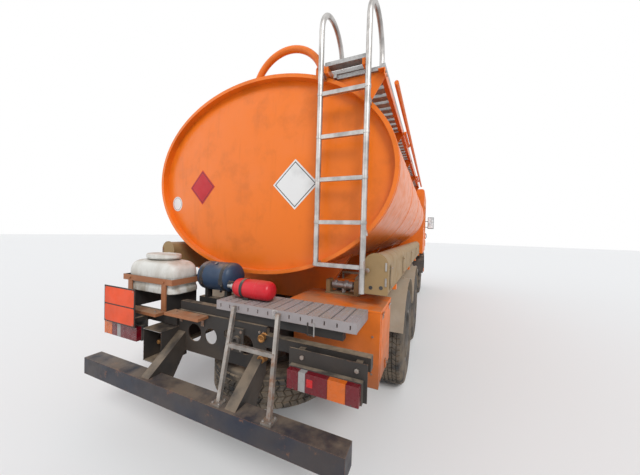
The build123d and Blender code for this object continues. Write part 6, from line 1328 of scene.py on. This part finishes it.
# %% Steps, handles and grille
TREADS_Z, TREAD_BARS, BAR_FIRST, BAR_PITCH, BAR_DEEP = (0.5615, 0.8215), 5, -3.895, 0.020, 0.008
LIPS, LIP_FIRST, LIP_PITCH = 6, 1.262, 0.062
HANDLE = ((1.226, -3.888, 1.560), (1.262, -3.885, 1.580), (1.262, -3.885, 1.720), (1.226, -3.882, 1.740))
cell = bmesh.new()
for side, tread_z, n in itertools.product((-1, 1), TREADS_Z, range(TREAD_BARS)):
    bar_y = BAR_FIRST + n * BAR_PITCH
    block(cell, (side * 1.030, bar_y, tread_z - 0.001), (side * 1.170, bar_y + BAR_DEEP, tread_z + 0.0025))
piece(cell, "step_grip", "galvanised")
cell = bmesh.new()
for side in (-1, 1):
    rod(cell, [mirrored(at, side) for at in HANDLE], 0.009)
for n in range(LIPS):
    lip_z = LIP_FIRST + n * LIP_PITCH
    block(cell, (-0.690, -4.1080, lip_z), (0.690, -4.0870, lip_z + 0.004))
piece(cell, "grille_lips", "black_plastic", body="cab", rounding=0.001)
print("step bars", 4 * TREAD_BARS, "grille lips", LIPS)

# %% [markdown]
# Seen through the windscreen and the doors: dials with their needles, air vents, a row of knobs. They
# are laid out on the dashboard's slope by its own two directions. The dials carry no figures.

# %% Dashboard
DASH_FACE = Vector((0, -3.640, 1.640))
DIALS = ((0.540, 0.036), (0.640, 0.052), (0.760, 0.052), (0.860, 0.036))  # place across, radius
VENTS, VENT_SLATS, KNOBS = (-1.00, -0.55, 0.0, 0.30, 1.05), 4, 5
DASH_KNOB = [(0.0, 0.0), (0.0, 0.011), (0.012, 0.009), (0.014, 0.0)]
dash_up = Vector((0, -0.2, 0.13)).normalized()
dash_out = Vector((0, 0.13, 0.2)).normalized()
cell = bmesh.new()
for dial_x, dial_r in DIALS:
    at = DASH_FACE + X * dial_x + dash_up * 0.085
    dial = [(0.0, 0.0), (0.002, dial_r * 0.9), (0.007, dial_r), (0.008, dial_r * 1.08),
            (-0.002, dial_r * 1.15)]
    turned(cell, dial, at + dash_out * 0.001, dash_out, 28, 1)
    needle = at + dash_out * 0.004
    bar(cell, needle, needle + (dash_up * 0.7 + X * 0.5) * dial_r * 0.8, 0.0016, 6, 2)
for vent_x, slat in itertools.product(VENTS, range(VENT_SLATS)):
    low = DASH_FACE + X * (vent_x - 0.060) + dash_up * (0.060 + slat * 0.014) + dash_out * 0.002
    bar(cell, low, low + X * 0.120, 0.0035, 8)
block(cell, (-0.120, -3.682, 1.500), (0.220, -3.664, 1.600))
for knob in range(KNOBS):
    turned(cell, DASH_KNOB, (-0.080 + knob * 0.060, -3.664, 1.535), Y, 16, 2)
piece(cell, "dash_dials", "black_plastic", ["black_plastic", "chassis_paint", "white_plastic"], "cab",
      rounding=0.001)
print("dials", len(DIALS), "vents", len(VENTS))

# %% [markdown]
# The pedals hang from bent arms. The gear lever is a bent rod as well, with a turned knob and a
# folded boot at its foot.

# %% Pedals and gear lever
PEDALS = (0.560, 0.650, 0.745)
GEAR_LEVER = ((0.300, -3.420, 1.4205), (0.302, -3.425, 1.540), (0.310, -3.440, 1.640))
GEAR_KNOB = [(-0.022, 0.0), (-0.018, 0.018), (0.0, 0.024), (0.020, 0.022), (0.030, 0.010), (0.031, 0.0)]
BOOT = [(0.0, 0.052), (0.010, 0.048), (0.030, 0.030), (0.050, 0.014)]
cell = bmesh.new()
for pedal_x in PEDALS:
    block(cell, (pedal_x - 0.032, -3.700, 1.300), (pedal_x + 0.032, -3.688, 1.370))
    rod(cell, [(pedal_x, -3.700, 1.335), (pedal_x, -3.735, 1.400), (pedal_x, -3.740, 1.4795)], 0.008)
rod(cell, GEAR_LEVER, 0.009)
turned(cell, GEAR_KNOB, (0.310, -3.440, 1.652), Z, 20)
turned(cell, BOOT, GEAR_LEVER[0], Z, 20)
piece(cell, "pedals", "black_plastic", body="cab", rounding=0.001)
print("pedals", len(PEDALS))

# %% [markdown]
# Seats are soft. Each one is a cushion and a back: a rounded pad that is remeshed evenly and puffed up
# by a cloth simulation with pressure, so the middle crowns and the sides draw in. The growth is capped
# and sewn channels are pressed in afterwards, because the remesh would wash them out.

# %% Padded seats
PAD_GROWTH, PAD_VOXEL, PAD_PRESSURE, PAD_FRAMES = 0.016, 0.014, 4.0, 20
CROWN, SEAM_DEPTH, SEAM_WIDTH, DRAW_IN = 0.16, 0.12, 0.010, 0.012
PADS = {  # place for the left seat, size across, deep and thick, lean in degrees, seams
    "seat_cushion": ((0.650, -3.120, 1.530), (0.460, 0.400, 0.085), -3, (-0.11, 0.11)),
    "seat_back": ((0.650, -2.825, 1.850), (0.450, 0.620, 0.085), 80, (-0.11, 0.11)),
    "headrest": ((0.650, -2.770, 2.175), (0.270, 0.090, 0.070), 80, (0.3,)),
}


def settle(made):
    """Applies all modifiers of a piece to its mesh."""
    solid = bpy.data.meshes.new_from_object(made.evaluated_get(bpy.context.evaluated_depsgraph_get()))
    made.modifiers.clear()
    made.data = solid


def pad(name, middle, size, lean, channels):
    """A crowned, padded cushion; size is across, deep and thick, and lean turns it back round X."""
    cell = bmesh.new()
    block(cell, [-s / 2 for s in size], [s / 2 for s in size])
    round_edges(cell, cell.edges[:], min(size) * 0.36, 4)
    made = as_object(cell, name)
    even = made.modifiers.new("even", "REMESH")
    even.mode = "VOXEL"
    even.voxel_size = PAD_VOXEL
    settle(made)
    start = [v.co.copy() for v in made.data.vertices]
    cloth = made.modifiers.new("cloth", "CLOTH")
    cloth.settings.use_pressure = True
    cloth.settings.uniform_pressure_force = PAD_PRESSURE
    cloth.settings.effector_weights.gravity = 0.0
    for frame_number in range(1, PAD_FRAMES + 1):
        scene.frame_set(frame_number)
    settle(made)
    scene.frame_set(1)
    half = Vector(size) / 2
    for vert, was in zip(made.data.vertices, start):
        grown = vert.co - was
        if grown.length > PAD_GROWTH:
            vert.co = was + grown.normalized() * PAD_GROWTH
        along = max(0.0, 1 - (vert.co.y / half.y) ** 2)
        crown = max(0.0, 1 - (vert.co.x / half.x) ** 2) * along
        seam = max([math.exp(-((vert.co.x - at) / SEAM_WIDTH) ** 2) for at in channels])
        if abs(vert.co.z) > half.z * 0.4:
            vert.co.z *= 1 + CROWN * crown - SEAM_DEPTH * seam
        if abs(vert.co.x) > half.x * 0.7:
            vert.co.x -= math.copysign(DRAW_IN * along, vert.co.x)
    made.data.transform(Matrix.Translation(middle) @ Matrix.Rotation(math.radians(lean), 4, "X"))
    made.data.shade_smooth()
    made.data.materials.append(finishes["seat_fabric"])
    soft = made.modifiers.new("soft", "SUBSURF")
    soft.levels = soft.render_levels = 1
    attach(made, "cab")


cell = bmesh.new()
for side in (-1, 1):
    block(cell, (side * 0.480, -3.260, 1.2355), (side * 0.820, -2.900, 1.4600))
    block(cell, (side * 0.430, -3.300, 1.4600), (side * 0.870, -2.880, 1.4780))
    block(cell, (side * 0.640, -2.8600, 1.5000), (side * 0.660, -2.7600, 1.5800))
piece(cell, "seat_bases", "black_plastic", body="cab", replaced=["seats"], rounding=0.006)
for hand, side in (("left", 1), ("right", -1)):
    for name, (middle, size, lean, channels) in PADS.items():
        pad(f"{name}_{hand}", mirrored(middle, side), size, lean, channels)
print("pads", 2 * len(PADS))
